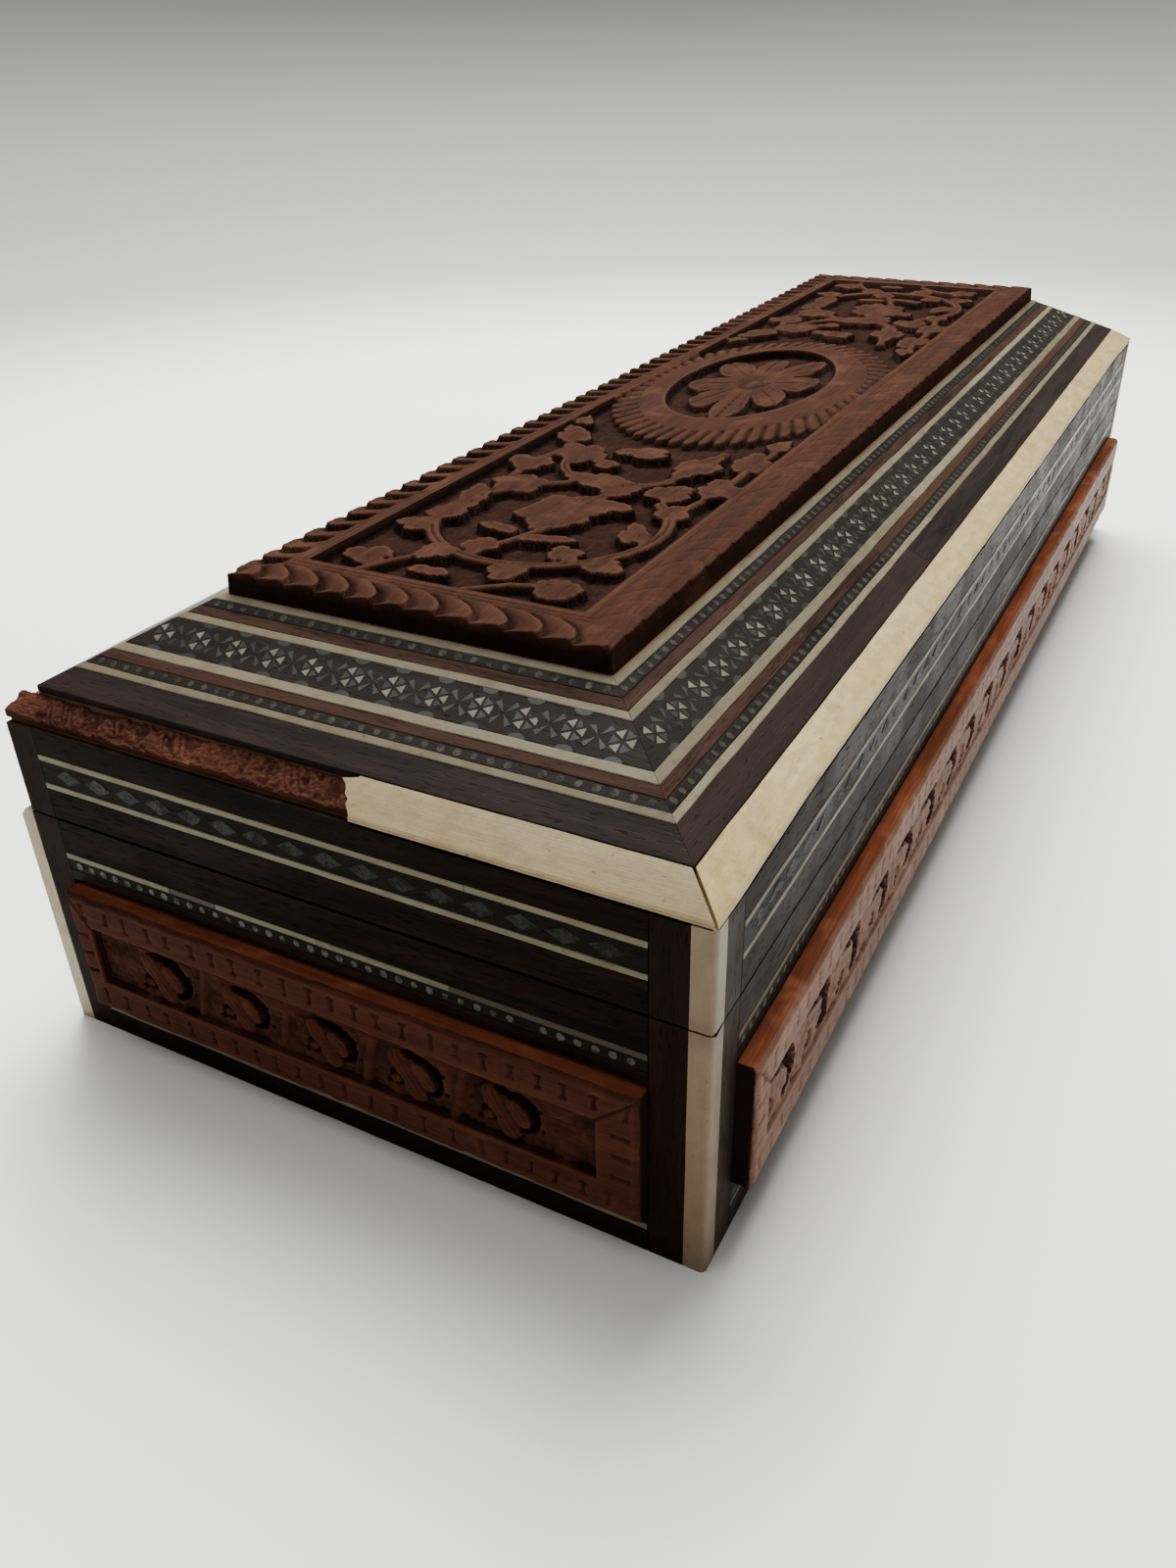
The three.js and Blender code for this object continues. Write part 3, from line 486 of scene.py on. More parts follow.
def makePiece(name, points, faces, material, body, stoodFor, values, mend=True):
    mesh = bpy.data.meshes.new(name)
    mesh.from_pydata((np.asarray(points) / 1000).tolist(), [], faces)
    for label, data in values.items():
        addValues(mesh, label, data)
    if mend:
        work = bmesh.new()
        work.from_mesh(mesh)
        bmesh.ops.recalc_face_normals(work, faces=work.faces)
        work.to_mesh(mesh)
        work.free()
    mesh.materials.append(material)
    mesh.shade_flat()
    return dress(addObject(name, mesh), body, stoodFor)


# A section's corners, each cut back by a small chamfer.
def chamfered(section, softness):
    corners = [Vector(c) for c in section]
    out = []
    for i, corner in enumerate(corners):
        for other in (corners[i - 1], corners[(i + 1) % len(corners)]):
            way = other - corner
            out.append(tuple(corner + way.normalized() * min(softness, way.length * 0.4)))
    return out


# Stock is a list of bars waiting to be joined in one piece: points, faces, wood coordinates and tones.
def newStock():
    return {"points": [], "faces": [], "wood": [], "tone": [], "count": 0}


# How often a bar's edges wander per millimetre, across and up, the share that goes up, and how far apart in
# the wood two bars may be sawn.
barForm = {"across": 0.12, "up": 0.08, "rise": 0.3, "apart": 400}


# A bar along a wall. The section's corners are (a, b), and place turns (along, a, b) into a point. Start and
# end are lengths or functions of (a, b), for mitred and broken ends. Tone is a number or a function of along.
def addBar(stock, place, section, start, end, softness, wander, tone, spacing, rng):
    corners = chamfered(section, softness) if softness else section
    a, b = (np.array([c[i] for c in corners]) for i in (0, 1))
    first, last = (
        np.array([limit(v, w) if callable(limit) else limit for v, w in zip(a, b)]) for limit in (start, end))
    stations = max(2, int(abs(last - first).max() / spacing) + 1) if wander else 2
    shift = rng.uniform(-barForm["apart"], barForm["apart"], 3)
    middle = a.mean()
    base, k = stock["count"], len(corners)
    for t in np.linspace(0, 1, stations):
        along = first + (last - first) * t
        drift = np.array([
            noise.noise(Vector((u * barForm["across"] + shift[0], 3.0 * (v > middle), shift[1])))
            for u, v in zip(along, a)])
        lift = noise.noise(Vector((float(along[0]) * barForm["up"], shift[2], 1.7)))
        across, up = a + drift * wander, b + lift * wander * barForm["rise"]
        stock["points"].append(place(along, across, up))
        stock["wood"].append(np.stack([along + shift[0], across + shift[1], up + shift[2]], -1))
        stock["tone"].append(np.array([tone(u) for u in along]) if callable(tone) else np.full(k, tone))
    for ring in range(base, base + (stations - 1) * k, k):
        turns = [(j, (j + 1) % k) for j in range(k)]
        stock["faces"] += [[ring + j, ring + after, ring + k + after, ring + k + j] for j, after in turns]
    stock["faces"].append([base + j for j in range(k)])
    stock["faces"].append([base + (stations - 1) * k + j for j in reversed(range(k))])
    stock["count"] += stations * k


def finishStock(name, stock, material, body, stoodFor):
    points, wood, tone = (np.concatenate(stock[label]) for label in ("points", "wood", "tone"))
    values = {"wood": wood, "tone": tone}
    return makePiece(name, points, stock["faces"], material, body, stoodFor, values)


# Lengths of a strip that is made of several pieces, with a fine joint between them.
def joints(first, last, rng, shortest, longest, gap=0.12):
    cuts = [first]
    while last - cuts[-1] > longest:
        cuts.append(cuts[-1] + rng.uniform(shortest, longest))
    if last - cuts[-1] < shortest * 0.4 and len(cuts) > 1:
        cuts.pop()
    ends = cuts[1:] + [last]
    return [(a + (gap / 2 if i else 0), b - (gap / 2 if i < len(ends) - 1 else 0))
            for i, (a, b) in enumerate(zip(cuts, ends))]


# The same lengths, cut again at given places, but not close to their ends.
def cutAt(lengths, places, gap=0.12, shortest=0.3):
    for place in places:
        parts = []
        for a, b in lengths:
            inside = a + shortest < place < b - shortest
            parts += [(a, place - gap / 2), (place + gap / 2, b)] if inside else [(a, b)]
        lengths = parts
    return lengths


# Rows of inlay by Geometry Nodes. Along each path, every pitch, stands a cell: a ring of small prisms whose
# points face outwards, or one prism where the ring has no size. The tree ends in realised, finished meshes.
def makeInlayRow():
    tree, given, out = newTree("inlayRow", "GeometryNodeTree", [
        ("Paths", "Geometry", None), ("Pitch", "Float", 2.3e-3), ("Ring Count", "Int", 3),
        ("Ring Size", "Vector", (0, 0, 0)), ("Ring Turn", "Float", 0.0), ("Sides", "Int", 14),
        ("Turn", "Float", 0.0), ("Size", "Vector", (7e-4, 7e-4, 5e-4)), ("Top", "Float", 0.9),
        ("Tilt", "Float", 0.02), ("Variation", "Float", 0.08), ("Missing", "Float", 0.0), ("Seed", "Int", 1),
        ("Finish", "Material", None),
    ], [("Inlay", "Geometry")])

    def made(kind, values=None, output=0, **settings):
        return addNode(tree, kind, values, **settings).outputs[output]

    def geometry(kind, **values):
        ports = {label.replace("_", " "): value for label, value in values.items()}
        return made("GeometryNode" + kind, ports)

    def chance(**values):
        ports = {2: 0.0, 3: 1.0, "Seed": given["Seed"], **values}
        return made("FunctionNodeRandomValue", ports, 1, data_type="FLOAT")

    def about(turn):
        return made("ShaderNodeCombineXYZ", {2: turn})

    radii = {"Radius_Top": given["Top"], "Radius_Bottom": 1.0}
    prism = geometry("MeshCone", Vertices=given["Sides"], Depth=1.0, **radii)
    prism = geometry("Transform", Geometry=prism, Translation=(0, 0, -1), Rotation=about(given["Turn"]))
    prism = geometry("Transform", Geometry=prism, Scale=given["Size"])
    ring = geometry("MeshCircle", Vertices=given["Ring Count"], Radius=1.0)
    ring = geometry("Transform", Geometry=ring, Rotation=about(given["Ring Turn"]))
    ring = geometry("Transform", Geometry=ring, Scale=given["Ring Size"])
    ring = geometry("MergeByDistance", Geometry=ring, Distance=1e-5)
    ports = {"Vector": geometry("InputPosition")}
    outward = made("FunctionNodeAlignRotationToVector", ports, axis="X", pivot_axis="Z")
    cell = geometry("InstanceOnPoints", Points=ring, Instance=prism, Rotation=outward)
    curve = geometry("MeshToCurve", Mesh=given["Paths"])
    spaced = made("GeometryNodeResampleCurve", {"Curve": curve, "Length": given["Pitch"]}, mode="LENGTH")
    facing = made("GeometryNodeInputNamedAttribute", {"Name": "facing"}, data_type="FLOAT_VECTOR")
    ports = {0: facing, 1: geometry("InputTangent")}
    upright = made("FunctionNodeAxesToRotation", ports, primary_axis="Z", secondary_axis="X")
    ports = {0: (-1, -1, -0.5), 1: (1, 1, 0.5), "Seed": given["Seed"]}
    lean = made("FunctionNodeRandomValue", ports, data_type="FLOAT_VECTOR")
    leaning = made("ShaderNodeVectorMath", {0: lean, 3: given["Tilt"]}, operation="SCALE")
    ports = {0: upright, 1: made("FunctionNodeEulerToRotation", {0: leaning})}
    rotation = made("FunctionNodeRotateRotation", ports, rotation_space="LOCAL")
    luck = chance()
    smallest = maths("SUBTRACT", 1.0, given["Variation"])
    size = made("ShaderNodeMapRange", {"Value": luck, "To Min": smallest, "To Max": 1.0})
    ports = {0: luck, 1: given["Missing"]}
    kept = made("FunctionNodeCompare", ports, data_type="FLOAT", operation="GREATER_EQUAL")
    placed = geometry(
        "InstanceOnPoints", Points=spaced, Selection=kept, Instance=cell, Rotation=rotation, Scale=size)
    apart = geometry("RealizeInstances", Geometry=placed)
    ports = {"Geometry": apart, "Name": "tone", "Value": chance(ID=geometry("InputMeshIsland"))}
    toned = made("GeometryNodeStoreNamedAttribute", ports, data_type="FLOAT", domain="POINT")
    setPort(out[0], geometry("SetMaterial", Geometry=toned, Material=given["Finish"]))
    return tree


inlayRow = makeInlayRow()


def inMetres(*extents):
    return tuple(extent / 1000 for extent in extents)


# paths: lists of points with the way that the row's face looks.
def addRow(name, paths, values, material, body, stoodFor):
    points, edges, facing = [], [], []
    for path, way in paths:
        edges += [(len(points) + i, len(points) + i + 1) for i in range(len(path) - 1)]
        points += [tuple(p) for p in np.asarray(path) / 1000]
        facing += [way] * len(path)
    mesh = bpy.data.meshes.new(name + "Paths")
    mesh.from_pydata(points, edges, [])
    addValues(mesh, "facing", facing)
    carrier = addObject(name + "Paths", mesh)
    modifier = carrier.modifiers.new("row", "NODES")
    modifier.node_group = inlayRow
    values = {**values, "Finish": material}
    for item in inlayRow.interface.items_tree:
        if item.in_out == "INPUT" and item.name in values:
            modifier[item.identifier] = values[item.name]
    made = bpy.data.meshes.new_from_object(carrier.evaluated_get(bpy.context.evaluated_depsgraph_get()))
    bpy.data.objects.remove(carrier)
    return dress(addObject(name, made), body, stoodFor)


def facingOf(side, onSlope):
    turn = walls[side]["turn"]
    if not onSlope:
        return (math.sin(turn), -math.cos(turn), 0.0)
    ratio = slopeForm["ratio"]
    return tuple(Vector((math.sin(turn) * ratio, -math.cos(turn) * ratio, 1.0)).normalized())


# The ends of a row of cells centred on a wall. A row that stands between another's cells has one cell fewer.
def rowEnds(reach, pitch, fewer=0):
    half = (int(2 * reach / pitch) - fewer) * pitch / 2 + 1e-4
    return np.array([-half, half])


# Walls: rosewood strips with upright end strips, bone lines, ebony strips for the dots and lozenges

bandForm = {
    "lower": (4.0, 6.9), "panel": (8.8, 29.5), "upper": (31.4, 34.3), "lozenges": (45.2, 50.9),
    "boneLine": 1.1, "thin": 0.05, "lid": 40.3, "lidTop": 54.7, "proud": 0.06, "dotPitch": 2.36,
    "dot": (0.66, 0.66), "dotMargin": 1.0, "lozengePitch": 5.6, "lozenge": (2.72, 1.42), "lozengeMargin": 3.2,
    "stringDepth": 0.9, "inlay": 0.3, "inlayProud": 0.03, "frontRise": 1.1,
    "dim": {"left": [(-27, -18.6), (19.6, 48)]},
}
lower, upper, lozenges, line = (bandForm[key] for key in ("lower", "upper", "lozenges", "boneLine"))
panel = bandForm["panel"]
boxSpans = [(0, lower[0]), (lower[1], panel[0]), (panel[1], upper[0]), (upper[1], boxForm["height"])]
lidSpans = [(bandForm["lid"], lozenges[0]), (lozenges[1], bandForm["lidTop"])]


def postBar(side):
    return lambda z, u, inset: wallPoint(side, u, inset, z)


# The front of the lid ends a little higher along its middle, under an edging that sits up there.
def frontLift(u):
    return bandForm["frontRise"] * smooth(boxForm["length"] / 2 - abs(u), 4, 34)


def veneerBar(side, body):
    if (side, body) != ("front", "lid"):
        return partial(wallPoint, side)
    start, end = lozenges[1], bandForm["lidTop"]
    share = lambda z: np.clip((z - start) / (end - start), 0, 1)
    return lambda u, inset, z: wallPoint(side, u, inset, z + frontLift(u) * share(z))


# The corners of a strip from inset a to b and height low to high.
def strip(a, b, low, high):
    return [(a, low), (a, high), (b, high), (b, low)]


def veneerPiece(side, body, node, spans, low, high):
    rng = np.random.default_rng(len(node + body) * 7 + walls[side]["length"])
    reach, half, thick = walls[side]["length"] / 2 - boxForm["strip"], fieldHalf(side), boxForm["veneer"]
    stock = newStock()
    for first, last in spans:
        section = strip(0, thick, first + glue / 2, last - glue / 2)
        ends = (-half + glue / 2, half - glue / 2)
        addBar(stock, veneerBar(side, body), section, *ends, 0.06, 0.04, rng.uniform(0, 0.25), 3, rng)
    for sign in (-1, 1):
        inner, outer = sorted((sign * (half + glue / 2), sign * (reach - glue)))
        section = [(inner, 0.02), (outer, 0.02), (outer, thick), (inner, thick)]
        addBar(stock, postBar(side), section, low, high, 0.08, 0.05, rng.uniform(0.7, 1), 4, rng)
    # The front wall takes the lighter rosewood copy, painted light; the other walls take the plain one.
    finish = rosewoodRubbedLit if side == "front" else rosewood
    return finishStock("rosewood_" + node, stock, finish, body, [node])


def bandBars(side, body, node, boneSpans, darkSpan, dim=()):
    rng = np.random.default_rng(int(boneSpans[0][0] * 10) + walls[side]["length"])
    half, depth, thin = fieldHalf(side) - glue, bandForm["stringDepth"], bandForm["thin"]
    lines, dark = newStock(), newStock()
    for first, last in boneSpans:
        section = strip(-bandForm["proud"], depth, first + thin, last - thin)
        for start, end in cutAt(joints(-half, half, rng, 34, 92), [edge for span in dim for edge in span]):
            worn = 1.7
            if not any(low < (start + end) / 2 < high for low, high in dim):
                worn = rng.uniform(0.0, 0.5) + 0.6 * (side == "front") + 0.2 * (body == "box")
            addBar(lines, partial(wallPoint, side), section, start, end, 0.1, 0.09, worn, 3, rng)
    section = strip(0.02, depth, darkSpan[0] + 0.02, darkSpan[1] - 0.02)
    addBar(dark, partial(wallPoint, side), section, -half, half, 0.03, 0.03, 0.3, 6, rng)
    finishStock("bone_lines_" + node, lines, boneInlay, body, [node])
    # Off the front, the dark strip takes the darker ebony copy, painted shade.
    finishStock("ebony_" + node, dark, ebony if side == "front" else shadedEbony, body, [node])


# Inlay in the walls: rows of one prism at the heights zs, with half sizes in millimetres.
def wallRow(name, side, zs, pitch, margin, size, values, material, body, nodes):
    ends = rowEnds(fieldHalf(side) - margin, pitch)
    paths = [(wallPoint(side, ends, -bandForm["inlayProud"], z), facingOf(side, False)) for z in zs]
    values = {"Pitch": pitch / 1000, "Size": inMetres(*size, bandForm["inlay"]), **values}
    return addRow(name + side, paths, values, material, body, [node + side for node in nodes])


for side in ("front", "right", "left"):
    veneerPiece(side, "box", "box_veneer_" + side, boxSpans, 0.0, boxForm["height"])
    veneerPiece(side, "lid", "lid_veneer_" + side, lidSpans, bandForm["lid"], bandForm["lidTop"])
for side in walls:
    dim = bandForm["dim"].get(side, ())
    bandBars(side, "box", "box_band_upper_" + side, [(upper[1] - line, upper[1])], upper, dim)
    bandBars(side, "box", "box_band_lower_" + side, [(lower[0], lower[0] + line)], lower)
    edges = [(lozenges[0], lozenges[0] + line), (lozenges[1] - line, lozenges[1])]
    bandBars(side, "lid", "lid_band_" + side, edges, lozenges)
    heights = ((upper[0] + upper[1] - line) / 2, (lower[0] + line + lower[1]) / 2)
    values = {"Sides": 12, "Tilt": 0.04, "Variation": 0.25, "Missing": 0.05, "Seed": 3}
    wallRow("pewter_dots_", side, heights, bandForm["dotPitch"], bandForm["dotMargin"], bandForm["dot"],
            values, pewter, "box", ["box_band_upper_", "box_band_lower_"])
    values = {"Sides": 4, "Tilt": 0.03, "Variation": 0.1, "Seed": 5}
    middle = sum(lozenges) / 2
    wallRow("pewter_lozenges_", side, [middle], bandForm["lozengePitch"], bandForm["lozengeMargin"],
            bandForm["lozenge"], values, dullPewter, "lid", ["lid_band_"])
print("wall inlay made")


# Slope of the lid: rosewood border, then bone, dots, brown wood, bone, star mosaic and the same again inwards

ringForm = {
    "border": (4.95, 8.85), "bones": [(8.85, 9.85), (12.65, 14.0), (19.3, 20.4), (23.2, 24.2)],
    "dotStrips": [(9.85, 11.25), (21.9, 23.2)], "browns": [(11.25, 12.65), (20.4, 21.9)],
    "mosaic": (14.0, 19.3), "depth": 1.0, "thin": 0.02, "mitre": 0.03, "joint": 0.1,
}
# The rows on the slope. A ring is how far the prisms of a cell stand from its middle, inlay is their depth,
# and star, blade, lens and dot are half sizes.
mosaicForm = {
    "pitch": 6.5, "starRing": (1.176, 1.176), "star": (0.84, 0.84), "bladeRing": (1.44, 1.65),
    "blade": (1.35, 0.52), "lens": (1.3, 0.8), "dot": (0.62, 0.62), "inlay": 0.3,
}


def ringBars(name, spans, material, lift, stoodFor, wander, shortest=70, longest=150, tones=(0, 1)):
    stock = newStock()
    rng = np.random.default_rng(len(name) * 13)
    thin, mitre, depth = ringForm["thin"], ringForm["mitre"], ringForm["depth"]
    for side, wall in walls.items():
        reach = wall["length"] / 2
        mitreStart = lambda inset, lift: inset - reach + mitre
        mitreEnd = lambda inset, lift: reach - inset - mitre
        for low, high in spans:
            low, high = low + thin, high - thin
            section = [(low, lift), (high, lift), (high, -depth), (low, -depth)]
            pieces = joints(-reach + high, reach - high, rng, shortest, longest, ringForm["joint"])
            for i, (a, b) in enumerate(pieces):
                ends = (mitreStart if i == 0 else a, mitreEnd if i == len(pieces) - 1 else b)
                tone = rng.uniform(*tones)
                addBar(stock, partial(slopePoint, side), section, *ends, 0.07, wander, tone, 4, rng)
    return finishStock(name, stock, material, "lid", stoodFor)


ringNodes = ["outer_stringing_band", "inner_stringing_band"]
ringBars("rosewood_border", [ringForm["border"]], borderWood, 0.0, ["border_band"], 0.05, 90, 160)
ringBars("bone_lines_slope", ringForm["bones"], boneInlay, 0.09, ringNodes, 0.1, 36, 110, (0.35, 1.0))
ringBars("brown_strips", ringForm["browns"], brownWood, 0.02, ringNodes, 0.05)
ringBars("ebony_strips", ringForm["dotStrips"], ebony, 0.0, ringNodes, 0.03)
ringBars("mosaic_ground", [ringForm["mosaic"]], ebony, 0.0, ["mosaic_band"], 0.0, 60, 140)


# A row of cells round the slope, in the middle of a pair of insets or on one, with its sizes in millimetres.
def slopeRow(name, insets, pitch, size, values, material, node, slot,
             ring=None, fewer=0, lift=0.03, margin=0.8):
    inset, paths = sum(insets) / len(insets), []
    for side, wall in walls.items():
        ends = rowEnds(wall["length"] / 2 - inset - margin, pitch, fewer)
        paths.append((slopePoint(side, ends, inset, lift), facingOf(side, True)))
    values = {"Pitch": pitch / 1000, "Size": inMetres(*size, mosaicForm["inlay"]), **values}
    if ring:
        values["Ring Size"] = (*inMetres(*ring), 1)
    return addRow(name, paths, values, material, "lid", [node])


def mosaicRow(name, insets, size, values, material, **places):
    pitch, size = mosaicForm["pitch"], mosaicForm[size]
    return slopeRow(name, insets, pitch, size, values, material, "mosaic_band", "star_mosaic", **places)


triangle = {"Sides": 3, "Turn": math.pi, "Top": 0.96, "Tilt": 0.02}
mosaic, starRing, bladeRing = ringForm["mosaic"], mosaicForm["starRing"], mosaicForm["bladeRing"]
for index, part in enumerate(("outer", "inner")):
    values = {"Sides": 12, "Tilt": 0.04, "Variation": 0.15, "Missing": 0.02, "Seed": 7 + index}
    slopeRow("pewter_dots_" + part, ringForm["dotStrips"][index], bandForm["dotPitch"], mosaicForm["dot"],
             values, slopePewter, ringNodes[index], "stringing")
starRows = (("white", 0.0, whiteTessera, 0.035), ("dark", math.pi, greenTessera, 0.02))
for name, turn, material, lift in starRows:
    values = {**triangle, "Ring Turn": turn, "Variation": 0.1, "Seed": 11}
    mosaicRow("star_points_" + name, mosaic, "star", values, material, ring=starRing, lift=lift, margin=1.6)
values = {**triangle, "Ring Count": 4, "Ring Turn": math.pi / 4, "Variation": 0.05, "Seed": 13}
mosaicRow("pewter_blades", mosaic, "blade", values, greyTessera, ring=bladeRing, fewer=1, margin=1.6)
for index, part in enumerate(("outer", "inner")):
    values = {"Sides": 18, "Top": 0.97, "Tilt": 0.01, "Variation": 0.08, "Seed": 17 + index}
    mosaicRow("green_lenses_" + part, [mosaic[index]], "lens", values, greenTessera, margin=4.0)
print("slope inlay made")


# Carving

# Random heights on a square lattice, blended smoothly between its points.
def lattice(x, y, cell, seed, size=64):
    table = np.random.default_rng(seed).uniform(-1, 1, (size, size))
    gx, gy = x / cell, y / cell
    ix, iy = np.floor(gx).astype(int), np.floor(gy).astype(int)
    fx, fy = gx - ix, gy - iy
    fx, fy = fx * fx * (3 - 2 * fx), fy * fy * (3 - 2 * fy)
    near, far = (blend(*(table[(ix + i) % size, (iy + j) % size] for i in (0, 1)), fx) for j in (0, 1))
    return blend(near, far, fy)


def blurred(grid, rounds):
    for _ in range(rounds):
        wide = np.pad(grid, 1, mode="edge")
        grid = (wide[:-2, 1:-1] + wide[2:, 1:-1] + wide[1:-1, :-2] + wide[1:-1, 2:] + grid) / 5
    return grid


# A carved face on a grid, closed at its sides and back. place(u, v, height) gives the points, and the relief
# stands between the heights base and full. With a waist the skirt round it comes down in two steps, and
# without one the face's painted shade fades at the rim. skirtShade(u, v) paints shade on the skirt.
def carvedPiece(name, us, vs, relief, place, base, full, material, body, node, waist=None, hide=True,
                skirtShade=None, sideMaterial=None):
    U, V = np.meshgrid(us, vs, indexing="ij")
    height = relief(U, V)
    hollow = blurred(height, 14) - height
    steep = smooth(blurred(np.hypot(*np.gradient(height, us, vs)), 1), 0.9, 2.2)
    lost = np.clip((full - height) / (full - base), 0, 1)
    if waist is None:
        toRim = np.minimum(np.minimum(U - us[0], us[-1] - U), np.minimum(V - vs[0], vs[-1] - V))
        within = smooth(toRim, 0.5, 1.1)
        steep, hollow, lost = steep * within, hollow * within, lost * within
    n, m = U.shape
    at = lambda i, j: i * m + j
    rim = [at(i, 0) for i in range(n)] + [at(n - 1, j) for j in range(1, m)]
    rim += [at(i, m - 1) for i in range(n - 2, -1, -1)] + [at(0, j) for j in range(m - 2, 0, -1)]
    k = len(rim)
    steps = [(np.full_like(height, base), base)]
    if waist is not None:
        steps.insert(0, (np.minimum(height, waist), waist))
    points = [place(U, V, height).reshape(-1, 3)]
    points += [place(U, V, floor).reshape(-1, 3)[rim] for floor, level in steps]
    wood = [np.stack([U, V, height], -1).reshape(-1, 3)]
    wood += [np.stack([U.ravel()[rim], V.ravel()[rim], np.full(k, level)], -1) for floor, level in steps]
    I, J = np.meshgrid(np.arange(n - 1), np.arange(m - 1), indexing="ij")
    quads = np.stack([at(I, J), at(I + 1, J), at(I + 1, J + 1), at(I, J + 1)], -1).reshape(-1, 4)
    rings = [rim] + [[n * m + level * k + i for i in range(k)] for level in range(len(steps))]
    skirt = [[upper[i], lower[i], lower[(i + 1) % k], upper[(i + 1) % k]]
             for upper, lower in zip(rings[:-1], rings[1:]) for i in range(k)]
    faces = quads.tolist() + skirt + [list(reversed(rings[-1]))]
    sides = skirtShade(U, V).ravel()[rim] if skirtShade else np.zeros(k)
    lost, hollow, steep = lost.ravel(), hollow.ravel(), steep.ravel()
    if waist is None:
        steep[rim] = sides
    values = {"wood": np.concatenate(wood) + 500, "steep": np.concatenate([steep] + [sides] * len(steps))}
    for label, data in (("deep", lost), ("hollow", hollow)):
        values[label] = np.concatenate([data] + [data[rim]] * len(steps))
    points, stoodFor = np.concatenate(points), [node] if hide else ()
    piece = makePiece(name, points, faces, material, body, stoodFor, values, mend=False)
    soft = np.arange(len(faces)) < len(quads)
    piece.data.polygons.foreach_set("use_smooth", soft)
    if sideMaterial:
        piece.data.materials.append(sideMaterial)
        piece.data.polygons.foreach_set("material_index", np.where(soft, 0, 1).astype(np.int32))
    return piece


# How far each point is from the segment a to b, and how far along it the nearest point lies, from 0 to 1.
def segment(u, v, a, b):
    du, dv = b[0] - a[0], b[1] - a[1]
    t = np.clip(((u - a[0]) * du + (v - a[1]) * dv) / (du * du + dv * dv), 0, 1)
    return np.hypot(u - a[0] - t * du, v - a[1] - t * dv), t


# The same for a line through several points.
def trail(u, v, points):
    best = np.full(np.shape(u), 1e9)
    share = np.zeros(np.shape(u))
    for i in range(len(points) - 1):
        gap, t = segment(u, v, points[i], points[i + 1])
        closer = gap < best
        best = np.where(closer, gap, best)
        share = np.where(closer, (i + t) / (len(points) - 1), share)
    return best, share


# Carved wall panels: a flat border with nicks round a sunk field of lobed sprays

panelForm = {
    "span": {"left": (7.1, 28.6)}, "fullSpan": (8.85, 29.45), "border": 5.6, "sink": 2.25, "edge": 0.6,
    "spray": 0.3, "mound": 1.0, "ragged": 0.22, "back": 0.9, "nickHigh": 2.3, "nickStroke": 0.26,
    "nickSerif": 0.62, "nickDepth": 0.45, "nickStep": (3.5, 4.8), "endNickPitch": 3.515, "mitreDepth": 0.3,
    "stemWidth": 1.1, "sprayReach": 9.5,
}
# One spray round its own middle: two slanting ribbed petals, a bud, and the crescent cut behind them. A petal
# has its two ends and its girth, the bud and the pits have their middle and radius.
sprayForm = {
    "crescent": [(-3.8, 3.9), (-1, 4.3), (2.2, 4.0), (4.4, 2.6), (5.0, 0.4), (4.3, -2.2), (2.0, -3.2)],
    "petals": [((-2.8, 2.8), (0.5, -3.2), 2.25), ((1.2, 1.9), (3.0, -0.6), 1.7)],
    "size": 0.84, "ribPitch": 0.95, "ribDepth": 0.2, "bud": (-3.4, -1.8, 1.05), "pitDepth": 1.8,
    "pits": [(6.2, -1.6, 0.5), (6.0, 2.5, 0.35), (-5.2, -3.3, 0.6)],
}


def spray(u, v, height, rng, sunk):
    form, sink = sprayForm, panelForm["sink"]
    size = form["size"] * rng.uniform(0.94, 1.06)
    u, v = (u - rng.uniform(-0.3, 0.3)) / size, (v + 0.5) / size
    gap, share = trail(u, v, form["crescent"])
    width = (0.4 + 0.65 * np.sin(np.pi * np.clip(share, 0.02, 0.98)) ** 0.7) * (1 + 1.2 * sunk)
    height = np.minimum(height, -sink * fade(gap, width - 0.3, width + 0.25))
    for pu, pv, radius in form["pits"]:
        pit = fade(np.hypot(u - pu, v - pv), radius * 0.6, radius * 1.3)
        height = np.minimum(height, -form["pitDepth"] * pit)
    for first, last, girth in form["petals"]:
        gap, share = segment(u, v, first, last)
        du, dv = last[0] - first[0], last[1] - first[1]
        across = ((u - first[0]) * dv - (v - first[1]) * du) / math.hypot(du, dv)
        girth = girth * (1 + 0.07 * np.cos(share * 14 + rng.uniform(0, 6)))
        girth = girth * (0.86 + 0.14 * np.sin(np.pi * share))
        ribs = smooth(np.abs(np.sin(math.pi * across / form["ribPitch"])), 0.6, 0.1)
        ribs = ribs * fade(gap / girth, 0.75, 1.0)
        dome = -panelForm["spray"] - sunk - 0.55 * (gap / girth) ** 2 - form["ribDepth"] * ribs
        inside = fade(gap, girth - 0.1, girth + 0.3)
        height = np.where(inside > 0, np.maximum(height, dome * inside - sink * (1 - inside)), height)
    bu, bv, radius = form["bud"]
    reach = np.hypot(u - bu, v - bv)
    height = height - 0.9 * np.exp(-((reach - radius * 1.25) / 0.28) ** 2)
    bulb = -0.45 - 0.4 * (reach / radius) ** 2 - 0.5 * fade(np.abs(u - bu + 0.4 * (v - bv)), 0.08, 0.3)
    return blend(height, bulb, fade(reach, radius - 0.1, radius + 0.25))


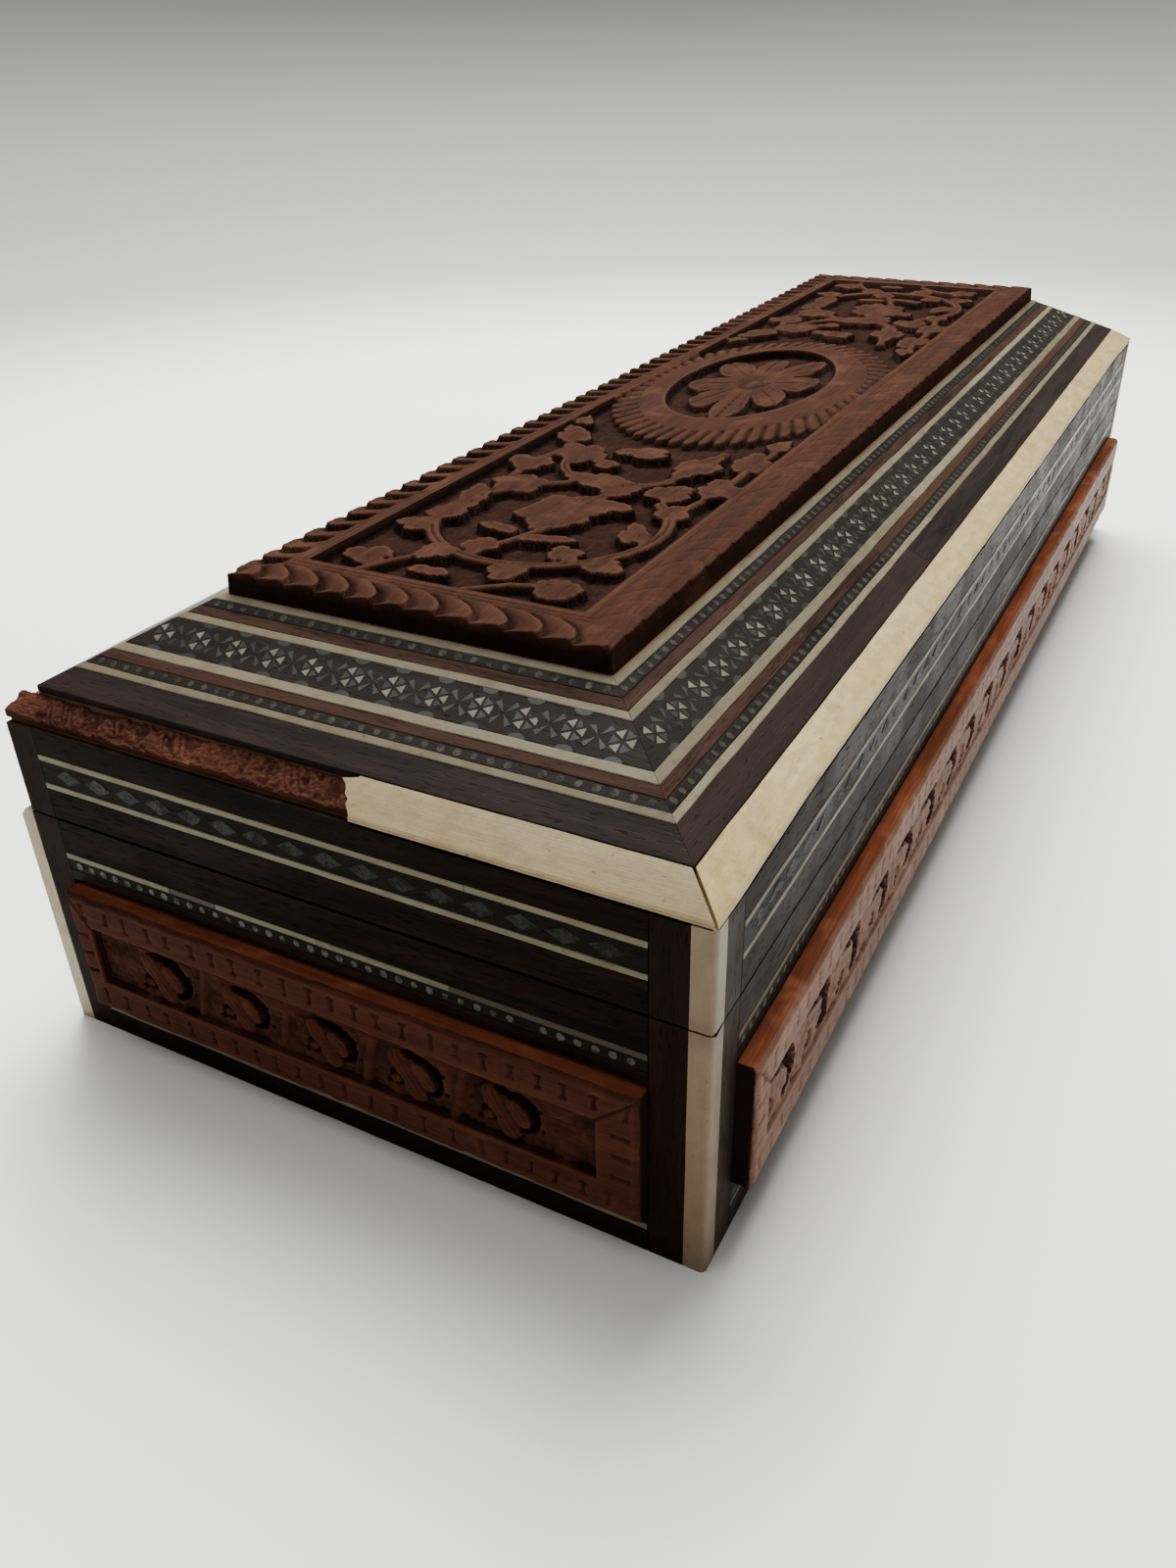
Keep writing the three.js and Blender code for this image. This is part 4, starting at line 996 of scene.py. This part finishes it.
# The relief of one wall panel. Its field runs between the two ends and lies lower by sunk.
def wallRelief(half, middles, seed, ends, bottom, top, sunk):
    form = panelForm
    rng = np.random.default_rng(seed)
    low, high = bottom + form["border"], top - form["border"]
    centre = (low + high) / 2

    def nick(du, dv, tall):
        wide = form["nickStroke"] * rng.uniform(0.7, 1.5)
        serifs = form["nickSerif"] * rng.uniform(0.5, 1.15, 2)
        stroke = fade(np.abs(du), wide * 0.5, wide * 1.4) * fade(np.abs(dv), tall - 0.2, tall + 0.2)
        wider = np.where(dv > 0, *serifs)
        serif = fade(np.abs(np.abs(dv) - tall), 0.1, 0.36) * fade(np.abs(du), wider * 0.6, wider * 1.3)
        return form["nickDepth"] * (1 - sunk) * rng.uniform(0.6, 1.1) * np.maximum(stroke, serif)

    def relief(u, z):
        inField = smooth(u, ends[0], ends[0] + 0.3) * fade(u, ends[1] - 0.3, ends[1])
        inField = inField * smooth(z, low - 0.1, low + 0.25) * fade(z, high - 0.25, high + 0.1)
        field = sunk - form["mound"] + (1 - sunk) * 0.35 * lattice(u, z, 2.6, seed)
        field = field + 0.12 * lattice(u, z, 0.7, seed + 1)
        for middle in middles:
            near = np.abs(u[:, 0] - middle) < form["sprayReach"]
            field[near] = spray(u[near] - middle, z[near] - centre, field[near], rng, sunk)
        for left, right in zip(middles[:-1], middles[1:]):
            at = (left + right) / 2 + 0.4
            gap, share = trail(u, z, [(at - 1.6, low - 1), (at - 0.3, centre), (at + 1.2, high + 1)])
            stem = -0.75 - 0.6 * (gap / form["stemWidth"]) ** 2
            field = np.where(gap < form["stemWidth"], np.maximum(field, stem), field)
        height = np.where(inField > 0, field * inField, 0.0)
        for row in (top - form["border"] / 2, bottom + form["border"] / 2):
            at = -half + rng.uniform(2, 3.4)
            while at < half - 1.6:
                slant = rng.uniform(-0.12, 0.12)
                near = np.abs(u[:, 0] - at) < 1.4
                across = u[near] - at - slant * (z[near] - row)
                height[near] -= nick(across, z[near] - row, form["nickHigh"] * rng.uniform(0.8, 1.1) / 2)
                at += rng.uniform(*form["nickStep"])
        for end, column in ((ends[0], (ends[0] - half) / 2 - 0.4), (ends[1], (ends[1] + half) / 2 + 0.4)):
            near = np.abs(u[:, 0] - column) < 2.4
            for step in (-1, 0, 1):
                across = z[near] - centre - step * form["endNickPitch"] + rng.uniform(-0.2, 0.2)
                height[near] -= nick(across, u[near] - column, form["nickHigh"] * 0.5)
            gap, share = segment(u, z, (end, high), (math.copysign(half, end), top))
            height -= form["mitreDepth"] * fade(gap, 0.1, 0.32)
        rim = np.minimum(np.minimum(u + half, half - u), np.minimum(z - bottom, top - z))
        rim = rim + form["ragged"] * (lattice(u, z, 2.2, seed + 4) - 1) * (rim < 1.2)
        rounded = 1 - np.clip(rim / form["edge"], 0, 1)
        height -= form["edge"] * (1 - np.sqrt(np.clip(1 - rounded ** 2, 0, 1)))
        rough = 0.05 * lattice(u, z, 2.6, seed + 2) + 0.03 * lattice(u, z, 0.7, seed + 3)
        return height + rough + 0.02 * lattice(u * 0.5, z * 3, 0.9, seed + 5) - 0.1

    return relief


def wallPanel(side, middles, step, material, ends, seed, proud, sunk=0.0):
    half = fieldHalf(side) - glue
    bottom, top = panelForm["span"].get(side, panelForm["fullSpan"])
    us = np.linspace(-half, half, int(2 * half / step[0]) + 1)
    zs = np.linspace(bottom, top, int((top - bottom) / step[1]) + 1)
    relief = wallRelief(half, middles, seed, ends, bottom, top, sunk)
    place = lambda u, z, height: wallPoint(side, u, -proud - height, z)
    # The panel's ends are painted in full shade through skirtShade; its top, bottom and end faces take the
    # sawn finish.
    return carvedPiece(
        "carving_" + side, us, zs, relief, place, -proud - panelForm["back"], 0.0, material, "box",
        "carved_panel_" + side, sideMaterial=sawnPaleLit if sunk else sawnLitFinish,
        skirtShade=lambda u, z: 1.2 * (np.abs(u) > half - 0.02))


frontMiddles = [(i - 9) * 14.4 - 3 for i in range(19)]
wallPanel("left", [-31.0, -15.8, -0.9, 13.0, 27.8], (0.2, 0.2), redFinish, (-43.3, 41.0), 5, 2.4)
wallPanel("front", frontMiddles, (0.3, 0.22), paleFinish, (-137.5, 137.5), 6, 3.0, 0.5)
wallPanel("right", [-30.4, -15.2, 0, 15.2, 30.4], (0.3, 0.28), redFinish, (-41.5, 41.5), 7, 2.4)
wallPanel("back", frontMiddles, (0.36, 0.3), paleFinish, (-137.5, 137.5), 8, 3.0, 0.3)
print("wall panels carved")


# Lid panel: gadrooned border, double moulding, vine scrolls and the medallion. Four values in a row are for
# the front, right, back and left sides.

lidForm = {
    "foot": 68.39, "height": 3.65, "half": (125.5, 30.5), "taper": 0.4, "border": (6.4, 5.4, 5.4, 5.4),
    "moulding": (1.8, 2.8, 2.8, 2.8), "beads": (0.1, 0.42, 0.76), "ground": 1.7, "waist": 1.9,
    "lobePitch": 5.0, "lobeSweep": (5.2, 4.0, 2.8, 5.2), "lobeRound": (0.9, 1.2, 2.4, 0.8),
    "lobeRise": (0.32, 1.0, 1.5, 1.4), "lobeFlat": (2.0, 2.2, 2.4, 2.2), "lobeEnd": (0.36, 0.36, 0.5, 0.36),
    "lobeCrown": (0.3, 0.3, 0.6, 0.3), "scallop": 0.3, "leafTop": 0.15, "leafSide": 0.3, "stemTop": 0.55,
    "medallion": (43, 25.5), "ring": (36, 20.5), "recess": (29, 14.6), "recessAt": (1.6, 1.4),
    "flower": (28.0, 14.0), "flowerAt": (0.9, 1.0), "petals": 8, "petalTurn": 56.5, "ribs": 58,
    "split": 46, "steps": (0.25, 0.29, 0.35), "rowStep": 0.25,
}

# Leaves of the left compartment: middle, half sizes, lobes and direction in degrees.
vineLeaves = [
    [(-111, 16.2), (3.9, 3.4), 3, 90], [(-97.3, 17.2), (3.2, 3), 3, 90], [(-112.8, 4.6), (3.2, 1.9), 2, 90],
    [(-106.2, 7.9), (3.3, 2.9), 3, 160], [(-108.4, -5.2), (3.3, 2.9), 3, 190],
    [(-111.2, -14.9), (3.9, 3.6), 5, 230], [(-101.2, -16.8), (3.2, 2.9), 3, 250],
    [(-101.2, 3.4), (3.2, 2.9), 4, 10], [(-94.1, 4.6), (3.4, 1.9), 2, 80], [(-95, -4.4), (4.2, 1.8), 2, -75],
    [(-99.6, -9.8), (3.2, 2.7), 4, 45], [(-83, -0.4), (8.6, 6.6), 6, 170], [(-79.4, -6), (4.2, 3.2), 3, 280],
    [(-90, 15.6), (5, 2.9), 3, -15], [(-82, 16.2), (4.6, 2.6), 3, 20], [(-73.8, 12.8), (5, 4.6), 5, 80],
    [(-63.6, 16.8), (4.4, 3.8), 3, 70], [(-68.2, 1.2), (6.4, 3.6), 3, 80],
    [(-55.4, 11.2), (5.8, 4.6), 5, 45], [(-69.4, -12.4), (4.2, 4), 3, -20], [(-65, -19), (4.9, 3.6), 3, 20],
    [(-77.4, -16.6), (3.4, 2.8), 3, 0], [(-55.2, -11), (6.6, 3.7), 4, -10],
    [(-49.4, -18.4), (5.6, 3.4), 3, 10], [(-88.2, -15.2), (4.4, 2.5), 3, 20],
    [(-51.4, 0.8), (5, 3.2), 3, 100], [(-46, 17.6), (5.4, 3.2), 3, 30], [(-71.6, -4.6), (3.4, 2.6), 3, -40],
    [(-59.4, 4.4), (2.8, 2.2), 3, 60], [(-37, 19.4), (3.6, 2.2), 3, 0], [(-38.6, -19.4), (3.8, 2.2), 3, 0],
]


def arc(middle, radius, first, last, count):
    turns = np.radians(np.linspace(first, last, count))
    return [(middle[0] + radius * math.cos(t), middle[1] + radius * math.sin(t)) for t in turns]


# Stems: the points they run through, their half width, and whether a groove makes them double.
vineStems = [
    (arc((-88, -1), 18, 78, 318, 24), 1.15, True), (arc((-57, 0), 12, 60, 235, 14), 1.0, True),
    ([(-116, 14.5), (-111, 12), (-106, 8)], 0.8, False), ([(-116, -3), (-112, -8), (-110, -14)], 0.8, False),
    ([(-90, -2), (-98, 1), (-104, 4)], 0.85, False),
    ([(-76, -2), (-71, -4), (-64, -9), (-57, -11), (-46, -12)], 1.1, False),
    ([(-82, 16), (-74, 11), (-68, 3), (-70, -4)], 1.0, False),
    ([(-78, 15), (-64, 17), (-52, 15), (-42, 19)], 1.0, False),
    ([(-76, -17), (-66, -19), (-52, -19), (-38, -20)], 0.9, False),
]
lidTopLevel = lidForm["height"]
topHalf = [half - lidForm["taper"] for half in lidForm["half"]]


# The left compartment's leaves and stems, and with flip -1 the same in the right one.
def addLeaf(x, y, height, leaf, flip, rng):
    (cx, cy), (along, across), lobes, way = leaf
    near = max(along, across) + 1.5
    rows, columns = np.abs(x[:, 0] - flip * cx) < near, np.abs(y[0] - cy) < near
    level = lidTopLevel - lidForm["leafTop"] - rng.uniform(0, 0.3)
    shift = rng.uniform(0, 6)
    if not rows.any():
        return
    part = np.ix_(rows, columns)
    dx, dy = flip * x[part] - cx, y[part] - cy
    c, s = math.cos(math.radians(way)), math.sin(math.radians(way))
    a, b = (dx * c + dy * s) / along, (-dx * s + dy * c) / across
    reach, bearing = np.hypot(a, b), np.arctan2(b, a)
    lobe = np.abs(np.cos(lobes * bearing / 2)) ** 0.55
    limit = (0.8 + 0.2 * lobe + 0.05 * np.sin(3 * bearing + shift)) if lobes > 4 else (0.66 + 0.4 * lobe)
    limit = limit + 0.05 * np.sin(5 * bearing + shift) + 0.04 * np.sin(11 * bearing - shift)
    limit = limit + 0.025 * np.sin(23 * bearing + 2 * shift)
    size, share = (along + across) / 2, reach / limit
    vein = np.abs(np.sin(lobes * bearing / 2)) * reach * size
    groove = 0.13 * fade(vein, 0.04, 0.3) * smooth(share, 0.05, 0.3) * fade(share, 0.6, 0.9)
    top = level - groove - (0.4 if lobes > 4 else 0.16) * share ** 2
    top = top + 0.05 * lattice(x[part], y[part], 1.6, 27)
    edge = smooth((limit - reach) * size, -lidForm["leafSide"], lidForm["leafSide"] * 0.3)
    height[part] = np.maximum(height[part], blend(height[part], top, edge))


def addStem(x, y, height, stem, flip):
    points, radius, double = stem
    xs = [flip * p[0] for p in points]
    rows = (x[:, 0] > min(xs) - 2) & (x[:, 0] < max(xs) + 2)
    if not rows.any():
        return
    gap, share = trail(flip * x[rows], y[rows], points)
    profile = lidTopLevel - lidForm["stemTop"] - 0.5 * (gap / radius) ** 2
    if double:
        profile = profile - 0.45 * fade(gap, 0.05, 0.4) + 0.15
    height[rows] = np.maximum(height[rows], blend(height[rows], profile, smooth(radius - gap, -0.3, 0.12)))


# A place from the middle of an oval: how far out, with 1 on the oval, and the same in millimetres from it.
def ovalReach(x, y, oval, at=(0, 0)):
    reach = np.hypot((x - at[0]) / oval[0], (y - at[1]) / oval[1])
    return reach, (reach - 1) * (oval[0] + oval[1]) / 2


# Radial ribs, the ring round the recess, and in the recess the flower with its petals and boss.
def addMedallion(x, y, height):
    form = lidForm
    level = lidTopLevel - 0.05
    ringReach, fromRing = ovalReach(x, y, form["ring"])
    outerReach = ovalReach(x, y, form["medallion"])[0]
    across = np.clip(fromRing, 0, 12) / 6.8
    turn = np.arctan2(y / form["medallion"][1], x / form["medallion"][0])
    phase = turn * form["ribs"] / (2 * math.pi) + 0.55 * across
    rib = 1 - np.abs(2 * (phase - np.floor(phase)) - 1) ** 2.6
    ribTop = level - 0.22 - 0.8 * np.clip(across, 0, 1) ** 1.5 - 0.62 * (1 - rib)
    tip = outerReach + 0.055 * (1 - rib) * 1.2
    inRibs = fade((tip - 1) * sum(form["medallion"]) / 2, -0.25, 0.35)
    around = blend(np.minimum(height, form["ground"] + 0.12), ribTop, inRibs)
    height = np.where(outerReach < 1.12, around, height)
    band = level - 0.28 * (np.clip((ringReach - 0.9) / 0.1, -1, 1)) ** 2
    height = blend(height, band, fade(fromRing, -0.25, 0.2))
    recessReach, fromRecess = ovalReach(x, y, form["recess"], form["recessAt"])
    floor = form["ground"] + 0.1 * lattice(x, y, 1.2, 31)
    height = blend(height, floor, fade(fromRecess, -0.35, 0.1))
    (fx, fy), petals = form["flower"], form["petals"]
    px, py = x - form["flowerAt"][0], y - form["flowerAt"][1]
    reach = np.hypot(px / fx, py / fy)
    bearing = np.arctan2(py / fy, px / fx) - math.radians(form["petalTurn"])
    lobe = np.abs(np.cos(petals * bearing / 2)) ** 0.6
    length = 0.84 + 0.2 * np.sin(2.4 * np.round(petals * bearing / (2 * math.pi)) + 0.8)
    limit = 0.46 + 0.52 * length * lobe + 0.03 * np.sin(11 * bearing)
    size = (fx + fy) / 2
    fine = np.abs(np.sin(petals * bearing * 1.5))
    between = fade(np.abs(np.sin(petals * bearing / 2)) * reach * size, 0.1, 0.5)
    top = level - 0.12 - 0.6 * smooth(reach, 0.28, 0.12) - 0.35 * smooth(reach / limit, 0.5, 1.0) ** 2
    top = top - 0.16 * smooth(fine, 0.6, 0.1) * smooth(reach, 0.25, 0.4)
    top = top - 0.5 * between * smooth(reach, 0.2, 0.35)
    top = top + 0.12 * lattice(x, y, 2.4, 33) - 0.12
    top = blend(top, level - 0.25 - 0.9 * (reach * size / 3) ** 2, fade(reach * size, 2.2, 2.9))
    top = top - 1.0 * fade(np.hypot(x - 1.4, (y + 1.6) * 1.6), 0.6, 1.7)
    inside = np.where(recessReach < 1.0, smooth((limit - reach) * size, -0.35, 0.12), 0)
    return np.maximum(height, blend(height, top, inside))


# How far along and in from the top edge a point is, on the side whose edge is nearest, with its number.
def borderPlace(x, y):
    dx, dy = topHalf[0] - np.abs(x), topHalf[1] - np.abs(y)
    onEnd = dx < dy
    along = np.where(onEnd, np.where(x > 0, y, -y), np.where(y > 0, -x, x))
    number = np.where(onEnd, np.where(x > 0, 1, 3), np.where(y > 0, 2, 0))
    return along, np.where(onEnd, dx, dy), onEnd, number


def ofSide(label, number):
    return np.array(lidForm[label])[number]


# Where a point lies in the row of lobes, moved along by shift: the lobe's number and how far through it.
def lobePlace(along, shift, number):
    drift = 0.5 * lattice(along, number * 9.0, 6.0, 41)
    phase = (along + shift + drift) / lidForm["lobePitch"]
    cell = np.floor(phase)
    return cell, phase - cell


def addBorder(x, y, height):
    along, depth, onEnd, number = borderPlace(x, y)
    border, moulding, sweep, rounding, lobeEnd, rise, flat, crown = (ofSide(label, number) for label in (
        "border", "moulding", "lobeSweep", "lobeRound", "lobeEnd", "lobeRise", "lobeFlat", "lobeCrown"))
    t = np.clip(depth / border, 0, 1)
    ridge = -sweep * t ** 2.2 - rounding * np.clip(1 - t / lobeEnd, 0, 1) ** 2
    cell, p = lobePlace(along, -ridge, number)
    rise = rise * (1 + 0.2 * lattice(cell, number * 5.0, 1.0, 43))
    rise = rise * (0.6 + 0.4 * smooth(t, 0, 0.35)) * (1 - 0.45 * smooth(t, 0.7, 1.0))
    drop = rise * (1 - p) ** flat * smooth(p, 0.0, 0.05) + 0.08 * smooth(p, 0.9, 1.0) ** 2
    crown = crown * (1 - np.sqrt(np.clip(t * 2.8, 0, 1))) + 0.16 * smooth(t, 0.55, 1.0)
    height = blend(height, lidTopLevel - 0.04 - drop - crown, smooth(depth, border + 0.25, border - 0.1))
    m = (depth - border) / moulding
    beads = lidTopLevel - 0.1 - 0.1 * (2 * m - 1) ** 2
    for line in lidForm["beads"]:
        beads = beads - 0.3 * np.exp(-(((m - line) * moulding) / 0.16) ** 2)
    return blend(height, beads, smooth(m, -0.06, 0.04) * fade(m, 0.93, 1.08))


def lidRelief(x, y):
    rng = np.random.default_rng(21)
    height = lidForm["ground"] + 0.16 * lattice(x, y, 1.5, 22) + 0.1 * lattice(x, y, 0.55, 23)
    for flip in (1, -1):
        for stem in vineStems:
            addStem(x, y, height, stem, flip)
        for leaf in vineLeaves:
            addLeaf(x, y, height, leaf, flip, rng)
    height = np.minimum(addBorder(x, y, addMedallion(x, y, height)), lidTopLevel)
    return height + 0.02 * lattice(x * 0.3, y, 0.8, 24) - 0.025


# The panel tapers a little, and the lobes scallop its edge.
def lidPlace(x, y, height):
    along, depth, onEnd, number = borderPlace(x, y)
    out = np.clip(1 - depth / 1.5, 0, 1)
    p = lobePlace(along, ofSide("lobeRound", number), number)[1]
    corner = smooth(p, 0.45, 0.98) ** 2 * fade(p, 0.98, 1.0) + 0.3 * fade(p, 0, 0.3)
    inward = out * lidForm["scallop"] * corner * smooth(height, 2.3, 2.8)
    move = out * lidForm["taper"] * (1 - np.clip(height / lidTopLevel, 0, 1)) - inward
    X = x + np.where(onEnd, np.sign(x) * move, 0)
    Y = y + np.where(onEnd, 0, np.sign(y) * move)
    return np.stack([X, Y, lidForm["foot"] + height], -1)


def lidPanel(name, first, last, step):
    xs = np.linspace(first, last, int((last - first) / step) + 1)
    ys = np.linspace(-topHalf[1], topHalf[1], int(2 * topHalf[1] / lidForm["rowStep"]) + 1)
    # The panel's sides take painted shade through skirtShade, the front side much less of it, as it faces the
    # light.
    return carvedPiece(
        name, xs, ys, lidRelief, lidPlace, 0.0, lidTopLevel, carvedFinish, "lid", "carved_lid_panel",
        waist=lidForm["waist"], skirtShade=lambda x, y: np.where(y < -topHalf[1] + 0.1, 0.2, 0.95))


stops = [-topHalf[0], -lidForm["split"], lidForm["split"], topHalf[0]]
for index, part in enumerate(("left", "middle", "right")):
    lidPanel("lid_carving_" + part, stops[index], stops[index + 1], lidForm["steps"][index])
print("lid panel carved")


# Bone edging on the chamfer, with the broken end and the rough seat that it left bare

edgingForm = {
    "lip": 0.5, "heel": 1.6, "backLoss": 11, "gap": 0.28, "wave": 0.1, "crown": 0.07,
    "break": ([0, 3.0, 4.1, 4.5, 4.95], [7.2, 5.1, 4.0, 5.4, 6.6]), "seat": (-52.9, 8.4),
    "seatGrid": (400, 30),
}
chamferWidth, foot = slopeForm["edging"], slopeForm["foot"]


def seatHeight(inset):
    low = foot - edgingForm["lip"]
    return low + (foot + slopeForm["rise"] - edgingForm["heel"] - low) * inset / chamferWidth


def edgingPiece(side):
    form, front = edgingForm, side == "front"
    reach = walls[side]["length"] / 2
    rng = np.random.default_rng(int(reach) + len(side))
    brim = lambda inset: foot + slopeForm["rise"] * inset / chamferWidth
    inner = chamferWidth - glue
    crown = lambda inset: form["crown"] * math.sin(math.pi * inset / chamferWidth)
    section = [(0.1, seatHeight(0.1)), (0.0, seatHeight(0) + 0.1), (0.0, brim(0) - 0.14)]
    section.append((0.05, brim(0) - 0.04))
    section += [(inset, brim(inset) + crown(inset)) for inset in np.linspace(0.35, 4.6, 9)]
    section += [(inner - 0.1, brim(inner) - 0.05), (inner, brim(inner) - 0.18), (inner, seatHeight(inner))]
    start = lambda inset, z: inset - reach + form["gap"]
    end = lambda inset, z: reach - inset - form["gap"]
    rng.random(len(section))  # nothing uses these draws, but the wood and tone below follow them
    if side == "left":
        start = lambda inset, z: (
            float(np.interp(inset, *form["break"])) + 0.22 * math.sin(inset * 7.3) + 0.12 * math.sin(z * 19))
    if side == "back":
        end = lambda inset, z: reach - form["backLoss"] + 0.5 * math.sin(inset * 1.7) + 0.2 * math.sin(z * 9)
    place = partial(wallPoint, side)
    if front:
        place = lambda u, inset, z: wallPoint(side, u, inset, z + frontLift(u) * (1 - inset / chamferWidth))
    stock = newStock()
    # The front edging takes the lighter bone and no worn tone, painted light; the other sides take a worn
    # tone, part real staining and part painted shade.
    tone = 0.0 if front else rng.uniform(0.6, 0.8)
    addBar(stock, place, section, start, end, 0, form["wave"], tone, 2.0, rng)
    nodes = ["edging_strip_" + side]
    return finishStock("bone_edging_" + side, stock, boneLitFront if front else bone, "lid", nodes)


for side in walls:
    edgingPiece(side)


# The seat is torn, with slanted tool marks and dark pits.
def seatRelief(u, inset):
    marks = np.abs(lattice(u * 0.82 + inset * 0.57, inset * 0.3, 0.8, 51))
    pits = smooth(lattice(u, inset, 1.6, 52), 0.35, 0.8)
    rough = 0.34 + 0.12 * lattice(u, inset, 2.7, 53) + 0.17 * lattice(u, inset, 0.4, 54)
    height = rough - 0.34 * fade(marks, 0.05, 0.35) * smooth(lattice(u, inset, 7, 55), -0.5, 0.2) - 0.4 * pits
    return np.clip(height + 0.3, 0.14, 1.0)


def seatPlace(u, inset, height):
    return wallPoint("left", u, inset, seatHeight(inset) - 0.1 + height * np.clip((4.98 - inset) * 4, 0.2, 1))


count, rows = edgingForm["seatGrid"]
carvedPiece(
    "bare_seat", np.linspace(*edgingForm["seat"], count), np.linspace(1.02, 4.9, rows), seatRelief, seatPlace,
    -0.35, 0.5, seatWood, "lid", "slope_board_left", hide=False)


# Bone posts at the two front corners, rounded outside, with small chips where they meet at the seam

postForm = {"side": 3, "round": 0.85, "steps": 5, "chip": 0.5, "stain": 0.7, "stainReach": 2.0}


def postPiece(name, sign, low, high, body, node, tone):
    form = postForm
    reach = boxForm["length"] / 2
    corners = [(form["side"], 0.0), (form["side"], form["side"]), (0.0, form["side"])]
    turns = np.linspace(math.pi, 1.5 * math.pi, form["steps"])
    rounded = [(form["round"] * (1 + math.cos(t)), form["round"] * (1 + math.sin(t))) for t in turns]
    section = [(sign * reach - sign * a, b) for a, b in rounded + corners]
    if sign > 0:
        section = section[::-1]
    stock = newStock()
    rng = np.random.default_rng(int(reach + sign))
    addBar(stock, postBar("front"), section, low, high, 0, 0.06, tone, 1.2, rng)
    return finishStock(name, stock, bone, body, [node])


def postUnder(u, inset):
    return seatHeight(min(boxForm["length"] / 2 - abs(u), inset)) - 0.2


def raggedFoot(u, inset):
    return bandForm["lid"] + 0.12 * math.sin(u * 5 + inset * 3) * (boxForm["length"] / 2 - abs(u) + inset < 3)


def raggedHead(u, inset):
    chip = postForm["chip"] * max(0.0, math.sin(u * 2.1 + inset * 1.3))
    return boxForm["height"] - chip * (inset < 0.6)


# Along the whole post a darker, yellower worn tone, part ageing and part painted shade, with a stain round
# the seam at 40.1 mm on top.
def stainAndShade(z):
    return 1.25 + postForm["stain"] * math.exp(-((z - 40.1) / postForm["stainReach"]) ** 2)


for sign, corner in ((-1, "front_left"), (1, "front_right")):
    for body, low, high in (("box", 0.0, raggedHead), ("lid", raggedFoot, postUnder)):
        end = body + "_" + corner
        postPiece("bone_post_" + end, sign, low, high, body, "corner_strip_" + end, stainAndShade)
print("edging, seat and posts made")


# CAD parts that keep their shape

def cadFinish(name):
    if name.endswith("board") or "_board_" in name:
        return sandalwood["y" if name.endswith(("left", "right")) else "x"]
    if name in ("box_veneer_back", "lid_veneer_back"):
        return rosewoodBack
    if name.startswith("corner_strip"):
        return boneUpright
    return brass if name.startswith("hinge") else None


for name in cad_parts:
    finish = cadFinish(name)
    if finish:
        for slot in bpy.data.objects[name].material_slots:
            slot.material = finish
print("CAD parts finished")


# Floor and light

stageForm = {
    "tone": tint(232, 232, 228), "blotch": tint(205, 205, 205), "shadedTone": tint(146, 147, 142),
    "farShadedTone": tint(174, 176, 170), "flat": 0.75, "reach": 2.0, "rise": 0.5, "sectors": 72, "rings": 24,
    "key": 56.0, "keyPlace": (0.5, 0.27, 1.0), "keySize": 0.85,
    "fill": 13.5, "fillPlace": (-0.1, 0.2, 1.3), "fillSize": 1.6, "target": (0, 0, 0.03), "world": 0.1,
}


# A round floor that turns up softly into its own backdrop.
def makeFloor():
    form = stageForm
    flat, count = form["flat"], form["sectors"]
    points = [(0.0, 0.0, 0.0)]
    for radius in [flat * 0.5] + list(np.linspace(flat, form["reach"], form["rings"])):
        share = max(0.0, (radius - flat) / (form["reach"] - flat))
        z = form["rise"] * (1 - math.sqrt(max(0.0, 1 - share ** 2)))
        turns = [2 * math.pi * i / count for i in range(count)]
        points += [(radius * math.cos(t), radius * math.sin(t), z) for t in turns]
    turns = [(i, (i + 1) % count) for i in range(count)]
    faces = [[0, 1 + i, 1 + after] for i, after in turns]
    for inner in range(1, 1 + form["rings"] * count, count):
        outer = inner + count
        faces += [[inner + i, outer + i, outer + after, inner + after] for i, after in turns]
    mesh = bpy.data.meshes.new("floor")
    mesh.from_pydata(points, [], faces)
    mesh.shade_smooth()
    material, tree, shader = newMaterial("paleFloor")
    place = objectPlace(tree)
    wear = handlingOf(place, 60, 1.5)
    distance = addNode(tree, "ShaderNodeVectorMath", {0: place}, operation="LENGTH").outputs["Value"]
    # Painted shade: the paper turns darker from 270 mm out, then a little lighter again from 850 mm, standing
    # in for the light falling off across the floor and backdrop.
    paper = layered(
        form["tone"], (wear["Blotches"], 0.2, 0.8, 0.08, form["blotch"]),
        (distance, 270, 640, 1, form["shadedTone"]), (distance, 850, 1600, 1, form["farShadedTone"]))
    dressShader(shader, {"Base Color": paper, "Roughness": 0.7}, wear["Specks"], 0.00003, 0.2)
    mesh.materials.append(material)
    addObject("floor", mesh)


def addLight(name, place, size, power):
    data = bpy.data.lights.new(name, "AREA")
    data.shape, data.size, data.energy = "SQUARE", size, power
    light = addObject(name, data)
    light.location = place
    light.rotation_euler = (Vector(stageForm["target"]) - Vector(place)).to_track_quat("-Z", "Y").to_euler()


makeFloor()
addLight("keyLight", stageForm["keyPlace"], stageForm["keySize"], stageForm["key"])
addLight("fillLight", stageForm["fillPlace"], stageForm["fillSize"], stageForm["fill"])
scene.world = bpy.data.worlds.new("studio")
scene.world.use_nodes = True
background = scene.world.node_tree.nodes["Background"].inputs
background["Color"].default_value = (1.0, 1.0, 1.0, 1.0)
background["Strength"].default_value = stageForm["world"]
print("floor and lights set")
